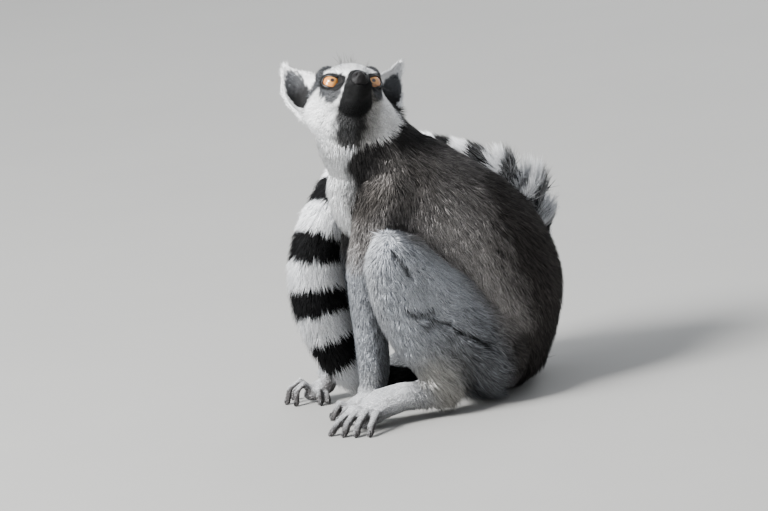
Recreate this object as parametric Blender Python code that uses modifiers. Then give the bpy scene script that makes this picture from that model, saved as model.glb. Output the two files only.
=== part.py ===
"""A ring-tailed lemur, life size, sitting with its tail drawn over its shoulder.

Lengths below are millimetres, and millimetres() turns them into Blender's metres.
+Z is up, the lemur faces -X, its left side is towards -Y and its face is turned
to -Y. It rests on the plane Z = 0, with its box centred on the Z axis.
"""

import math

import bmesh
import bpy
import numpy as np
from mathutils import Matrix, Vector

MM = 0.001

# Driving sizes of the animal
PART_GAP = 0.3  # between nodes that meet
SKIN_VOXEL = 2.2
BODY_TRIANGLES = 1800
HEAD_TRIANGLES = 900
HEAD_REACH = 62  # the head is what lies within this distance of HEAD_MIDDLE
HEAD_MIDDLE = (0, -20, -6)
EYE_RADIUS = 8.2
# Length of one ring, black or white, at a share of the tail's length from its root
RING_LENGTHS = [
    (0, 15), (0.29, 14.1), (0.42, 14.3), (0.5, 20.9), (0.65, 23.6), (0.8, 24), (0.9, 26.5), (1, 27)
]
BLACK_TIP = 58
TAIL_SIDES = 12
TAIL_CUT_REACH = 26
# Loose locks on the rings where the tail bends up behind the back, and each lock's sections
# as share of its reach along the tail, height over the ring, width and thickness
LOCK_RINGS = range(9, 14)
LOCKS_ROUND = 5
LOCK_REACH = 11
LOCK_SECTIONS = [(0, -8, 27, 13), (0.5, 4, 21, 9), (1, 12, 0, 0)]

# Trunk and neck: centre, half depth in the plane of the spine, half width across
TRUNK = [
    ((62, 12, 59), 60, 57),
    ((66, 9, 100), 66, 59),
    ((54, 3, 141), 61.5, 56),
    ((17, -5, 177), 59.5, 50),
    ((-14, -9, 213), 52.5, 45),
    ((-26, -13, 239), 43, 40),
    ((-37, -17, 257), 38, 38),
    ((-41, -22, 275), 33, 34),
    ((-41, -27, 288), 25, 27),
]
CHEST = ((-40, -13, 203), (30, 33, 48))
ACROSS_BODY = (-0.21, 0.98, 0)

# Limbs: centre and radius, from the trunk outwards
LIMBS = {
    "arm_left": [
        ((-14, -40, 205), 24),
        ((-32, -45, 172), 20.5),
        ((-43, -43, 140), 17),
        ((-46, -39, 110), 16),
        ((-45.5, -35, 81), 16),
        ((-46, -33, 48), 15.5),
        ((-49, -32.5, 24), 12.5),
    ],
    "arm_right": [
        ((-32, 26, 188), 22),
        ((-48, 42, 148), 18.5),
        ((-63, 56, 107), 15),
        ((-75, 54, 63), 13),
        ((-85, 51, 36), 9.5),
        ((-90, 50, 24), 8.5),
    ],
    "leg_left": [
        ((52, -31, 46), 42),
        ((31, -49, 80), 35),
        ((5, -66, 121), 29.5),
        ((-15, -79, 153), 26),
        ((-19, -81, 147), 25.5),
        ((-16, -80, 115), 27),
        ((-6, -76, 80), 25.5),
        ((6, -70, 54), 21.5),
        ((13, -67.5, 31), 17.5),
    ],
    "leg_right": [
        ((48, 46, 46), 38),
        ((28, 66, 80), 34),
        ((6, 84, 116), 29),
        ((-10, 94, 141), 26),
        ((-11, 95, 135), 25),
        ((1, 93, 108), 26),
        ((18, 88, 78), 24.5),
        ((35, 82, 53), 19),
        ((43, 78, 33), 13.5),
    ],
}
TAIL_STUMP = [((66, 6, 46), 20), ((80, 22, 29), 17.5), ((94, 50, 16.5), 15.5)]

# Tail: centre line and half thickness out to the tips of the coat
TAIL = [
    ((94, 50, 16.5), 14),
    ((99, 68, 22), 15),
    ((103, 80, 38), 16.5),
    ((106, 86, 60), 18.5),
    ((109, 84, 92), 20.5),
    ((111, 76, 124), 22),
    ((108, 66, 150), 24),
    ((97, 59, 172), 26),
    ((73, 57, 189), 26),
    ((44, 61, 202), 24),
    ((15, 66, 211), 23.5),
    ((-12, 67, 214), 22),
    ((-36, 57, 209), 21),
    ((-55, 40, 197), 20.5),
    ((-69, 25, 182), 21.5),
    ((-79, 17, 165), 24),
    ((-85.5, 13, 146), 27),
    ((-88, 11, 126), 28.5),
    ((-88, 9, 102), 28),
    ((-84.5, 7, 80), 26),
    ((-78, 5, 59), 23),
    ((-67, 5, 40), 21),
    ((-52, 5, 27), 19.5),
    ((-34, 5, 18.5), 19.5),
    ((-12, 2, 15), 16.5),
    ((2, 0, 11), 11),
]

# Head, in its own frame: +X to the lemur's right, +Y forward, +Z to the crown,
# and its origin midway between the eyes
HEAD_PLACE = (-33.5, -49, 307.6)
FACE_DIRECTION = (0.1976, -0.7808, 0.5927)
CROWN_DIRECTION = (0.0392, 0.6104, 0.7911)
SKULL = [  # y, middle height, half width, half height
    (-60, -1, 15, 14),
    (-50, -1, 25, 22),
    (-37, -1, 30.5, 26.5),
    (-24, -1.6, 31.5, 28.3),
    (-13, -3, 29, 27),
    (-5, -5.5, 24.5, 23),
    (3, -8.5, 18.5, 18.5),
    (13, -11.5, 14.3, 15.3),
    (23, -13.6, 12, 13),
    (30, -15, 9.6, 10.6),
    (36, -15.2, 7.5, 8.3),
    (39.5, -15, 4.8, 5.5),
]
HEAD_LUMPS = [  # centre and half sizes, each mirrored to the other side
    ((26, -33, -17), (15, 19, 18)),
    ((14, -34, -25), (16, 19, 17)),
    ((14, -7, 8.5), (11, 9, 6)),
    ((18.5, -22, 14.8), (13, 15, 10.7)),
    ((19, -15, -12), (11, 14, 12)),
    ((6.5, 22, -17.5), (6.5, 15, 7)),
]
JAW = [((0, -30, -24), (26, 24, 18)), ((0, -6, -21), (15, 24, 11)), ((0, 20, -22.5), (8, 14, 6.5))]
EYE_CENTRE = (16.6, -8.8, 0.5)
EYE_AXIS = (0.46, 0.87, 0.12)
LID_THICKNESS = 1.3
EYE_OPENING = (7.6, 5.5)  # half width and half height
NOSE_CUT_Y = 35.2
NOSTRIL = ((3.5, 41, -13.6), (1.8, 3, 1.6))

# Ear, in the head's frame: its line on the head and its outer rim, both from front to lobe
EAR_ROOT = [(23, -33, 21), (25, -36, 15), (27, -38, 6), (29, -39, -3), (31, -39, -11), (33, -38, -16)]
EAR_RIM = [
    (31, -36, 25.5),
    (43, -43, 33),
    (52.5, -48.5, 40),
    (54.5, -49.5, 30),
    (55.5, -49, 19),
    (54.8, -47.5, 9),
    (51.5, -45, 0),
    (46.5, -42.5, -8),
    (40, -40, -14.5),
]
EAR_TURN = {"ear_right": 0, "ear_left": 12}  # degrees that each rim is swung back
EAR_TIP = 2  # the place of the tip in EAR_RIM, and how far each ear's tip is drawn out
EAR_TIP_REACH = {"ear_right": (0, 0, 0), "ear_left": (4, 1, 8)}
EAR_CUP = 9
EAR_THICKNESS = 2.2


def millimetres(point):
    return Vector(point) * MM


def empty_scene():
    for obj in list(bpy.data.objects):
        bpy.data.objects.remove(obj)


def collection(name):
    made = bpy.data.collections.new(name)
    bpy.context.scene.collection.children.link(made)
    return made


def material(name, colour, roughness):
    made = bpy.data.materials.new(name)
    made.use_nodes = True
    shader = made.node_tree.nodes["Principled BSDF"]
    shader.inputs["Base Color"].default_value = (*colour, 1)
    shader.inputs["Roughness"].default_value = roughness
    shader.inputs["Metallic"].default_value = 0
    return made


def add_object(name, mesh, home):
    obj = bpy.data.objects.new(name, mesh)
    home.objects.link(obj)
    return obj


def mesh_from(bm, name):
    bmesh.ops.recalc_face_normals(bm, faces=bm.faces)
    mesh = bpy.data.meshes.new(name)
    bm.to_mesh(mesh)
    bm.free()
    return mesh


def apply_modifiers(obj):
    """Replaces the object's mesh by what its modifiers make of it."""
    graph = bpy.context.evaluated_depsgraph_get()
    mesh = bpy.data.meshes.new_from_object(obj.evaluated_get(graph))
    obj.modifiers.clear()
    old = obj.data
    obj.data = mesh
    bpy.data.meshes.remove(old)
    return obj


def remove_object(obj):
    mesh = obj.data
    bpy.data.objects.remove(obj)
    if mesh.users == 0:
        bpy.data.meshes.remove(mesh)


def catmull_rom(points, pieces):
    """Rows of numbers read from a smooth curve through the given rows."""
    rows = np.array(points, float)
    ends = np.vstack([2 * rows[0] - rows[1], rows, 2 * rows[-1] - rows[-2]])
    made = []
    for i in range(1, len(ends) - 2):
        p0, p1, p2, p3 = ends[i - 1 : i + 3]
        for k in range(pieces):
            t = k / pieces
            made.append(
                0.5
                * (
                    2 * p1
                    + (p2 - p0) * t
                    + (2 * p0 - 5 * p1 + 4 * p2 - p3) * t**2
                    + (3 * p1 - p0 - 3 * p2 + p3) * t**3
                )
            )
    made.append(rows[-1])
    return np.array(made)


DOME = [(0.5, 0.87), (0.82, 0.57), (0.97, 0.24)]
LIGHT_DOME = [(0.62, 0.72), (0.95, 0.25)]
BLUNT_END = [(0.75, 0.5)]


def round_ends(rows, dome=DOME):
    """Adds smaller sections beyond both ends, so that a loft ends in a dome."""
    first, last = rows[0], rows[-1]
    start = first[:3] - rows[1][:3]
    start /= np.linalg.norm(start)
    end = last[:3] - rows[-2][:3]
    end /= np.linalg.norm(end)
    before = [
        np.concatenate([first[:3] + start * first[3] * out, first[3:] * wide]) for out, wide in dome[::-1]
    ]
    after = [np.concatenate([last[:3] + end * last[3] * out, last[3:] * wide]) for out, wide in dome]
    return np.vstack([before, rows, after])


def loft(name, rows, home, sides=20, across=None):
    """A closed tube through sections of x, y, z, half depth and half width.

    across is the direction of the half width. Without one the sections turn
    as little as they can along the line.
    """
    bm = bmesh.new()
    rings = []
    line = rows[:, :3]
    tangents = np.gradient(line, axis=0)
    tangents /= np.linalg.norm(tangents, axis=1)[:, None]
    side = np.array(across if across is not None else np.cross(tangents[0], (0.3, 0.2, 0.93)), float)
    for row, tangent in zip(rows, tangents):
        wide = side - tangent * np.dot(side, tangent)
        wide /= np.linalg.norm(wide)
        if across is None:
            side = wide
        deep = np.cross(tangent, wide)
        ring = []
        for k in range(sides):
            angle = 2 * math.pi * k / sides
            point = row[:3] + deep * row[3] * math.cos(angle) + wide * row[4] * math.sin(angle)
            ring.append(bm.verts.new(millimetres(point)))
        rings.append(ring)
    for below, above in zip(rings, rings[1:]):
        for k in range(sides):
            m = (k + 1) % sides
            bm.faces.new((below[k], below[m], above[m], above[k]))
    bm.faces.new(rings[0][::-1])
    bm.faces.new(rings[-1])
    return add_object(name, mesh_from(bm, name), home)


def tube(name, stations, home, sides=20, pieces=3, dome=DOME):
    """A round loft through stations of a centre and a radius."""
    rows = catmull_rom([(*centre, radius, radius) for centre, radius in stations], pieces)
    return loft(name, round_ends(rows, dome) if dome else rows, home, sides)


def ellipsoid(name, centre, half_sizes, home, segments=20):
    bm = bmesh.new()
    bmesh.ops.create_uvsphere(bm, u_segments=segments, v_segments=segments // 2 + 2, radius=1)
    bmesh.ops.scale(bm, vec=millimetres(half_sizes), verts=bm.verts)
    bmesh.ops.translate(bm, vec=millimetres(centre), verts=bm.verts)
    return add_object(name, mesh_from(bm, name), home)


def plate(name, centre, normal, long_way, length, width, home, thickness=PART_GAP):
    """A thin box that parts what it crosses."""
    z = Vector(normal).normalized()
    x = (Vector(long_way) - z * Vector(long_way).dot(z)).normalized()
    turn = Matrix((x, z.cross(x), z)).transposed().to_4x4()
    bm = bmesh.new()
    bmesh.ops.create_cube(bm, size=1)
    bmesh.ops.scale(bm, vec=millimetres((length, width, thickness)), verts=bm.verts)
    bmesh.ops.transform(bm, matrix=Matrix.Translation(millimetres(centre)) @ turn, verts=bm.verts)
    return add_object(name, mesh_from(bm, name), home)


def join_by_boolean(obj, others, operation, solver="MANIFOLD"):
    """Applies one Boolean of obj with every object of a collection, and removes them."""
    boolean = obj.modifiers.new("Join", "BOOLEAN")
    boolean.operand_type = "COLLECTION"
    boolean.collection = others
    boolean.operation = operation
    boolean.solver = solver
    apply_modifiers(obj)
    for other in list(others.objects):
        remove_object(other)
    return obj


def melt(obj, others, voxel, smoothing):
    """Joins overlapping shapes into one soft skin."""
    bm = bmesh.new()
    for piece in [obj, *others.objects]:
        bm.from_mesh(piece.data)
    bm.to_mesh(obj.data)
    bm.free()
    for other in list(others.objects):
        remove_object(other)
    remesh = obj.modifiers.new("Melt", "REMESH")
    remesh.mode = "VOXEL"
    remesh.voxel_size = voxel * MM
    soften = obj.modifiers.new("Soften", "SMOOTH")
    soften.factor = 0.5
    soften.iterations = smoothing
    return apply_modifiers(obj)


def thin_out(obj, centre, reach, inside, triangles):
    """Leaves about so many triangles inside a sphere, or outside it, and the rest as they are."""
    within = [(v.co - centre).length < reach for v in obj.data.vertices]
    group = obj.vertex_groups.new(name="thinned")
    group.add([k for k, near in enumerate(within) if near == inside], 1, "REPLACE")
    every = thinned = 0
    for face in obj.data.polygons:
        count = len(face.vertices) - 2
        every += count
        if all(within[k] == inside for k in face.vertices):
            thinned += count
    fewer = obj.modifiers.new("Fewer", "DECIMATE")
    fewer.vertex_group = group.name
    fewer.ratio = (every - thinned + triangles) / every
    fewer.use_collapse_triangulate = True
    apply_modifiers(obj)
    obj.vertex_groups.clear()


def head_frame():
    """The matrix that takes a point of the head's frame to the model's."""
    forward = Vector(FACE_DIRECTION).normalized()
    up = Vector(CROWN_DIRECTION)
    up = (up - forward * up.dot(forward)).normalized()
    turn = Matrix((forward.cross(up), forward, up)).transposed().to_4x4()
    return Matrix.Translation(millimetres(HEAD_PLACE)) @ turn


def mirrored(point, side):
    return (point[0] * side, point[1], point[2])


def make_flesh(home, scrap):
    """Trunk, neck, limbs and head as one soft solid, with lids, nostrils and a mouth cut in it."""
    rows = catmull_rom([(*centre, deep, wide) for centre, deep, wide in TRUNK], 3)
    flesh = loft("flesh", round_ends(rows), home, sides=32, across=ACROSS_BODY)
    for name, stations in LIMBS.items():
        tube(name, stations, scrap)
    tube("tail_stump", TAIL_STUMP, scrap, dome=None)
    ellipsoid("chest", *CHEST, scrap)
    rows = catmull_rom([(0, y, z, high, wide) for y, z, wide, high in SKULL], 2)
    head = [loft("skull", round_ends(rows), scrap, sides=28, across=(1, 0, 0))]
    for centre, half_sizes in HEAD_LUMPS:
        for side in (-1, 1):
            head.append(ellipsoid("lump", mirrored(centre, side), half_sizes, scrap))
    for centre, half_sizes in JAW:
        head.append(ellipsoid("jaw", centre, half_sizes, scrap))
    place_on_head(head)
    melt(flesh, scrap, SKIN_VOXEL, 6)
    middle = head_frame() @ millimetres(HEAD_MIDDLE)
    thin_out(flesh, middle, HEAD_REACH * MM, False, BODY_TRIANGLES)
    thin_out(flesh, middle, HEAD_REACH * MM, True, HEAD_TRIANGLES)
    lid = (EYE_RADIUS + PART_GAP + LID_THICKNESS,) * 3
    lids = [ellipsoid("lid", mirrored(EYE_CENTRE, side), lid, scrap, segments=18) for side in (-1, 1)]
    place_on_head(lids)
    join_by_boolean(flesh, scrap, "UNION")
    socket = (EYE_RADIUS + PART_GAP,) * 3
    for side in (-1, 1):
        eye_opening(side, scrap)
        ellipsoid("socket", mirrored(EYE_CENTRE, side), socket, scrap, segments=18)
        ellipsoid("nostril", mirrored(NOSTRIL[0], side), NOSTRIL[1], scrap, segments=8)
    mouth_line(scrap)
    place_on_head(scrap.objects)
    return join_by_boolean(flesh, scrap, "DIFFERENCE")


def place_on_head(objects):
    """Moves what is made in the head's frame to where the head is."""
    for obj in objects:
        obj.data.transform(head_frame())


def eye_opening(side, home):
    """An almond-shaped bar along the eye's axis, which opens the lids."""
    axis = Vector(mirrored(EYE_AXIS, side)).normalized()
    across = Vector((0, 0, 1)).cross(axis).normalized()
    up = axis.cross(across)
    start = Vector(mirrored(EYE_CENTRE, side)) + axis * EYE_RADIUS * 0.35
    bm = bmesh.new()
    sides = 16
    rings = []
    for reach in (0, EYE_RADIUS * 1.1):
        ring = []
        for k in range(sides):
            angle = 2 * math.pi * k / sides
            pinch = 1 - 0.22 * abs(math.cos(angle)) ** 3
            offset = across * math.cos(angle) * EYE_OPENING[0]
            offset += up * math.sin(angle) * EYE_OPENING[1] * pinch
            ring.append(bm.verts.new(millimetres(start + axis * reach + offset)))
        rings.append(ring)
    for k in range(sides):
        m = (k + 1) % sides
        bm.faces.new((rings[0][k], rings[0][m], rings[1][m], rings[1][k]))
    bm.faces.new(rings[0][::-1])
    bm.faces.new(rings[1])
    add_object("opening", mesh_from(bm, "opening"), home)


def mouth_line(home):
    """A thin curved wedge that scores the lips from the nose back to below the eyes."""
    stations = [(44, -21.5), (37, -21.6), (28, -21.4), (17, -20.4), (8, -18.4), (2, -16.6)]
    half_gap, reach = 0.55, 30
    bm = bmesh.new()
    rings = []
    for y, z in stations:
        low, high = z - half_gap, z + half_gap
        corners = [(-reach, low), (reach, low), (reach, high), (-reach, high)]
        rings.append([bm.verts.new(millimetres((x, y, height))) for x, height in corners])
    for front, back in zip(rings, rings[1:]):
        for k in range(4):
            m = (k + 1) % 4
            bm.faces.new((front[k], front[m], back[m], back[k]))
    bm.faces.new(rings[0][::-1])
    bm.faces.new(rings[-1])
    wedge = add_object("mouth", mesh_from(bm, "mouth"), home)
    core = collection("mouth_core")
    rows = [(0, y, z, max(high - 1.6, 1), max(wide - 2, 1)) for y, z, wide, high in SKULL[4:]]
    loft("core", np.array(rows, float), core, sides=16, across=(1, 0, 0))
    join_by_boolean(wedge, core, "DIFFERENCE")
    bpy.data.collections.remove(core)


def resample(points, count):
    """So many points at even spacing along a smooth line."""
    rows = catmull_rom(points, 8)
    along = np.concatenate([[0], np.cumsum(np.linalg.norm(np.diff(rows, axis=0), axis=1))])
    return np.array([np.interp(np.linspace(0, along[-1], count), along, rows[:, k]) for k in range(3)]).T


def make_ear(name, side, home):
    """A cupped shell between its line on the head and its rim, open to the front."""
    count, columns = 13, 5
    swing = math.radians(EAR_TURN[name])
    middle = Vector(EAR_ROOT[len(EAR_ROOT) // 2])
    turned = []
    for place, point in enumerate(EAR_RIM):
        out, back = point[0] - middle.x, point[1] - middle.y
        x = middle.x + out * math.cos(swing) + back * math.sin(swing)
        y = middle.y - out * math.sin(swing) + back * math.cos(swing)
        drawn = Vector(EAR_TIP_REACH[name]) * max(0, 1 - 0.65 * abs(place - EAR_TIP))
        turned.append((x + drawn.x, y + drawn.y, point[2] + drawn.z))
    roots = resample([mirrored(point, side) for point in EAR_ROOT], count)
    rims = resample([mirrored(point, side) for point in turned], count)
    bm = bmesh.new()
    grid = []
    for i, (root, rim) in enumerate(zip(roots, rims)):
        hollow = EAR_CUP * math.sin(math.pi * i / (count - 1)) ** 0.6
        line = []
        for k in range(columns + 1):
            share = k / columns
            point = root * (1 - share) + rim * share
            point[1] -= hollow * math.sin(math.pi * share ** 0.8)
            line.append(bm.verts.new(millimetres(point)))
        grid.append(line)
    for low, high in zip(grid, grid[1:]):
        for k in range(columns):
            bm.faces.new((low[k], low[k + 1], high[k + 1], high[k]))
    ear = add_object(name, mesh_from(bm, name), home)
    place_on_head([ear])
    shell = ear.modifiers.new("Shell", "SOLIDIFY")
    shell.thickness = EAR_THICKNESS * MM
    shell.offset = 0
    apply_modifiers(ear)
    split = ear.modifiers.new("Split", "TRIANGULATE")
    split.quad_method = "FIXED"
    return apply_modifiers(ear)


def make_eye(name, side, home):
    eye = ellipsoid(name, mirrored(EYE_CENTRE, side), (EYE_RADIUS,) * 3, home, segments=12)
    place_on_head([eye])
    return eye


# Digits, in a hand's or foot's own frame: +X forward, +Y to the outer side, +Z up
FOOT_BONES = [
    ((0, 0, 20), 12),
    ((16, 0, 22.5), 12.5),
    ((38, 0, 23), 13.2),
    ((58, 1, 20), 14.2),
    ((68, 2, 15.5), 13.5),
    ((74, 3, 11), 11.4),
]
FOOT_WIDE = 1.15
TOES = [
    [((44, -9, 14), 6), ((62, -16, 12), 4.8), ((80, -20, 9), 4.2), ((93, -21, 2.6), 4)],
    [((62, -5, 17), 6), ((84, -1, 19), 4.8), ((100, 5, 10), 4), ((108, 8, 2.5), 3.8)],
    [((64, 0, 17), 6), ((82, 8, 19.5), 4.8), ((94, 16, 10), 4), ((99, 20, 2.5), 3.8)],
    [((62, 6, 16), 5.8), ((76, 16, 18.5), 4.7), ((86, 24, 9.5), 3.9), ((90, 29, 2.5), 3.7)],
    [((58, 10, 15), 5.4), ((68, 22, 16.5), 4.5), ((76, 32, 8.5), 3.8), ((79, 37, 2.5), 3.6)],
]
HAND_BONES = [((0, 0, 24), 9.5), ((5, 0, 15), 9), ((13, 0, 10), 9), ((20, 0, 8), 7)]
HAND_WIDE = 1.2
FINGERS = {
    "left": [
        [((6, -6, 8), 4), ((13, -12, 7), 3.4), ((19, -14, 2.3), 3.2)],
        [((16, -5, 9), 3.9), ((25, -9, 12), 3.2), ((31, -11, 2.0), 2.9)],
        [((17, -1, 9), 3.9), ((28, -3, 14), 3.2), ((36, -4, 2.0), 2.9)],
        [((17, 3, 9), 3.9), ((27, 4, 14), 3.2), ((35, 5, 2.0), 2.9)],
        [((14, 6, 8), 3.7), ((23, 11, 10), 3.1), ((30, 13, 1.9), 2.8)],
    ],
    "right": [
        [((7, -5, 8), 4), ((6, -12, 8), 3.3), ((5, -18, 2.2), 3.1)],
        [((13, -5, 9), 3.9), ((13, -14, 13), 3.2), ((12, -20, 2.1), 3.0)],
        [((18, -3, 9), 3.9), ((26, -7, 19), 3.2), ((32, -9, 13), 3.0), ((34, -10, 2.0), 2.9)],
        [((18, 1, 10), 3.9), ((28, 1, 21), 3.2), ((38, 1, 15), 3.0), ((42, 1, 2.0), 2.9)],
        [((16, 6, 8), 3.7), ((27, 12, 15), 3.0), ((34, 15, 9), 2.8), ((36, 16, 1.9), 2.8)],
    ],
}
FEET = {"left": ((13, -66, 0), 192.0), "right": ((44, 78, 0), 176.0)}
HANDS = {"left": ((-53, -32, 0), 178.0), "right": ((-86, 50, 0), 180.0)}


def paw(name, place, heading, outer, bones, wide, digits, home, scrap):
    """A palm or sole with its digits. outer is 1 where the outer side is to the left of forward."""
    rows = catmull_rom([(*centre, radius, radius * wide) for centre, radius in bones], 1)
    made = loft(name, round_ends(rows, LIGHT_DOME), home, sides=12, across=(0, 1, 0))
    for digit in digits:
        tube("digit", digit, scrap, sides=6, pieces=1, dome=BLUNT_END)
    join_by_boolean(made, scrap, "UNION")
    flip = Matrix.Diagonal((1, outer, 1, 1))
    turn = Matrix.Rotation(math.radians(heading), 4, "Z")
    made.data.transform(Matrix.Translation(millimetres(place)) @ turn @ flip)
    if outer < 0:
        made.data.flip_normals()
    return made


def make_paws(home, scrap):
    paws = bpy.data.collections.new("paws")
    bpy.context.scene.collection.children.link(paws)
    for side, outer in (("left", 1), ("right", -1)):
        place, heading = FEET[side]
        paw("sole", place, heading, outer, FOOT_BONES, FOOT_WIDE, TOES, paws, scrap)
        place, heading = HANDS[side]
        paw("palm", place, heading, outer, HAND_BONES, HAND_WIDE, FINGERS[side], paws, scrap)
    return paws


# Regions that take the paws off the limbs, in each paw's own frame: outline and height
FOOT_REGION = [
    (-16, -15), (40, -19), (58, -30), (98, -32), (118, 0), (112, 40), (80, 50), (50, 22), (-16, 16)
]
HAND_REGION = [(-14, -13), (12, -26), (48, -22), (50, 22), (8, 24), (-14, 13)]
FOOT_TOP = 35.5
HAND_TOP = 28

# Regions that take the limbs off the trunk: limb, first and last station, and how far
# the region reaches beyond the limb's own radius. The regions are taken in this order.
LIMB_REGIONS = [
    ("forearm_left", "arm_left", 2, 6, 4),
    ("forearm_right", "arm_right", 2, 5, 4),
    ("upper_arm_left", "arm_left", 0, 2, 3),
    ("upper_arm_right", "arm_right", 0, 2, 3),
    ("shin_left", "leg_left", 4, 8, 1.5),
    ("shin_right", "leg_right", 4, 8, 1.5),
    ("thigh_left", "leg_left", 0, 3, 3),
    ("thigh_right", "leg_right", 0, 3, 3),
]
HEAD_PLANE = ((-43, -25, 266), (0.05, -0.42, 0.9))
NECK_PLANE = ((-30, -12, 232), (-0.45, -0.1, 0.9))


def half_space(name, centre, normal, home, size=160):
    """A block whose lower face lies in the plane that is given."""
    z = Vector(normal).normalized()
    middle = Vector(centre) + z * size / 2
    return plate(name, middle, z, (1, 0, 0), size, size, home, thickness=size)


def prism(name, outline, top, place, heading, outer, home):
    """An upright block over an outline in a paw's own frame."""
    bm = bmesh.new()
    low = [bm.verts.new(millimetres((x, y, -5))) for x, y in outline]
    high = [bm.verts.new(millimetres((x, y, top))) for x, y in outline]
    for k in range(len(outline)):
        m = (k + 1) % len(outline)
        bm.faces.new((low[k], low[m], high[m], high[k]))
    bm.faces.new(low[::-1])
    bm.faces.new(high)
    bmesh.ops.triangulate(bm, faces=bm.faces)
    flip = Matrix.Diagonal((1, outer, 1, 1))
    turn = Matrix.Rotation(math.radians(heading), 4, "Z")
    bmesh.ops.transform(bm, matrix=Matrix.Translation(millimetres(place)) @ turn @ flip, verts=bm.verts)
    return add_object(name, mesh_from(bm, name), home)


def take(name, flesh, region, home, scrap):
    """Moves the flesh inside a region to a node of its own, and leaves a thin gap around it."""
    piece = add_object(name, flesh.data.copy(), home)
    wider = grown(region, scrap, PART_GAP)
    scrap.objects.unlink(region)
    join_by_boolean(flesh, scrap, "DIFFERENCE")
    scrap.objects.link(region)
    join_by_boolean(piece, scrap, "INTERSECT")
    keep_largest(piece)
    return piece


def part_flesh(flesh, home, scrap):
    """Parts the flesh into the nodes of the body."""
    nose = half_space("region", (0, NOSE_CUT_Y, -10), (0, 1, 0.12), scrap, size=30)
    nose.data.transform(head_frame())
    take("nose", flesh, nose, home, scrap)
    take("head", flesh, half_space("region", *HEAD_PLANE, scrap), home, scrap)
    take("neck", flesh, half_space("region", *NECK_PLANE, scrap), home, scrap)
    for side, outer in (("left", 1), ("right", -1)):
        place, heading = FEET[side]
        region = prism("region", FOOT_REGION, FOOT_TOP, place, heading, outer, scrap)
        take("foot_" + side, flesh, region, home, scrap)
        place, heading = HANDS[side]
        region = prism("region", HAND_REGION, HAND_TOP, place, heading, outer, scrap)
        take("hand_" + side, flesh, region, home, scrap)
    for name, limb, first, last, reach in LIMB_REGIONS:
        stations = [(centre, radius + reach) for centre, radius in LIMBS[limb][first : last + 1]]
        dome = None if name.startswith("forearm") else LIGHT_DOME
        region = tube("region", stations, scrap, sides=10, pieces=2, dome=dome)
        take(name, flesh, region, home, scrap)
    keep_largest(flesh)
    flesh.name = "torso"


def loose_pieces(obj):
    """One mesh for each closed surface of an object."""
    bm = bmesh.new()
    bm.from_mesh(obj.data)
    unseen = set(bm.verts)
    groups = []
    while unseen:
        group, edge = set(), [unseen.pop()]
        while edge:
            vert = edge.pop()
            group.add(vert)
            for link in vert.link_edges:
                other = link.other_vert(vert)
                if other in unseen:
                    unseen.remove(other)
                    edge.append(other)
        groups.append({v.index for v in group})
    bm.free()
    made = []
    for group in groups:
        part = bmesh.new()
        part.from_mesh(obj.data)
        part.verts.ensure_lookup_table()
        bmesh.ops.delete(part, geom=[v for v in part.verts if v.index not in group], context="VERTS")
        mesh = bpy.data.meshes.new("piece")
        part.to_mesh(mesh)
        part.free()
        made.append(mesh)
    return made


def ring_ends(total):
    """Shares of the tail's length at which its rings meet, counted from the black tip."""
    shares, lengths = zip(*RING_LENGTHS)
    ends, at = [1.0], total - BLACK_TIP
    while at > 0.6 * lengths[0]:
        ends.append(at / total)
        at -= np.interp(at / total, shares, lengths)
    return [0.0] + ends[::-1]


def tail_rows():
    """Sections along the whole tail, each with its share of the length and its two cross directions."""
    rows = catmull_rom([(*centre, radius, radius) for centre, radius in TAIL], 2)
    along = np.concatenate([[0], np.cumsum(np.linalg.norm(np.diff(rows[:, :3], axis=0), axis=1))])
    ahead = np.gradient(rows[:, :3], axis=0)
    ahead /= np.linalg.norm(ahead, axis=1)[:, None]
    side = np.array((0, 0, 1.0))
    frames = []
    for direction in ahead:
        side = side - direction * side.dot(direction)
        side /= np.linalg.norm(side)
        frames.append([*side, *np.cross(direction, side)])
    return np.hstack([rows[:, :4], ahead, frames]), along / along[-1], along[-1]


def tail_at(tail, share):
    """Centre, half thickness, direction and two cross directions at a share of the tail's length."""
    rows, along, total = tail
    here = np.array([np.interp(share, along, rows[:, k]) for k in range(rows.shape[1])])
    beyond = max(share - 1, 0) * total
    return here[:3] + here[4:7] * beyond, here[3], here[4:7], here[7:10], here[10:13]


def tail_lock(tail, share, angle, home):
    """One tapered lock that stands on the tail and bends towards its tip."""
    bm = bmesh.new()
    rings = []
    for reach, height, wide, thick in LOCK_SECTIONS:
        here, radius, ahead, up, aside = tail_at(tail, share + reach * LOCK_REACH / tail[2])
        out = up * math.cos(angle) + aside * math.sin(angle)
        across = np.cross(ahead, out)
        middle = here + out * (radius + height)
        sideways, along = across * wide / 2, ahead * thick / 2
        corners = [middle - sideways, middle - along, middle + sideways, middle + along]
        rings.append([bm.verts.new(millimetres(point)) for point in (corners if wide else corners[:1])])
    for k in range(4):
        m = (k + 1) % 4
        bm.faces.new((rings[0][k], rings[0][m], rings[1][m], rings[1][k]))
        bm.faces.new((rings[1][k], rings[1][m], rings[2][0]))
    bm.faces.new(rings[0][::-1])
    return add_object("lock", mesh_from(bm, "lock"), home)


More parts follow.
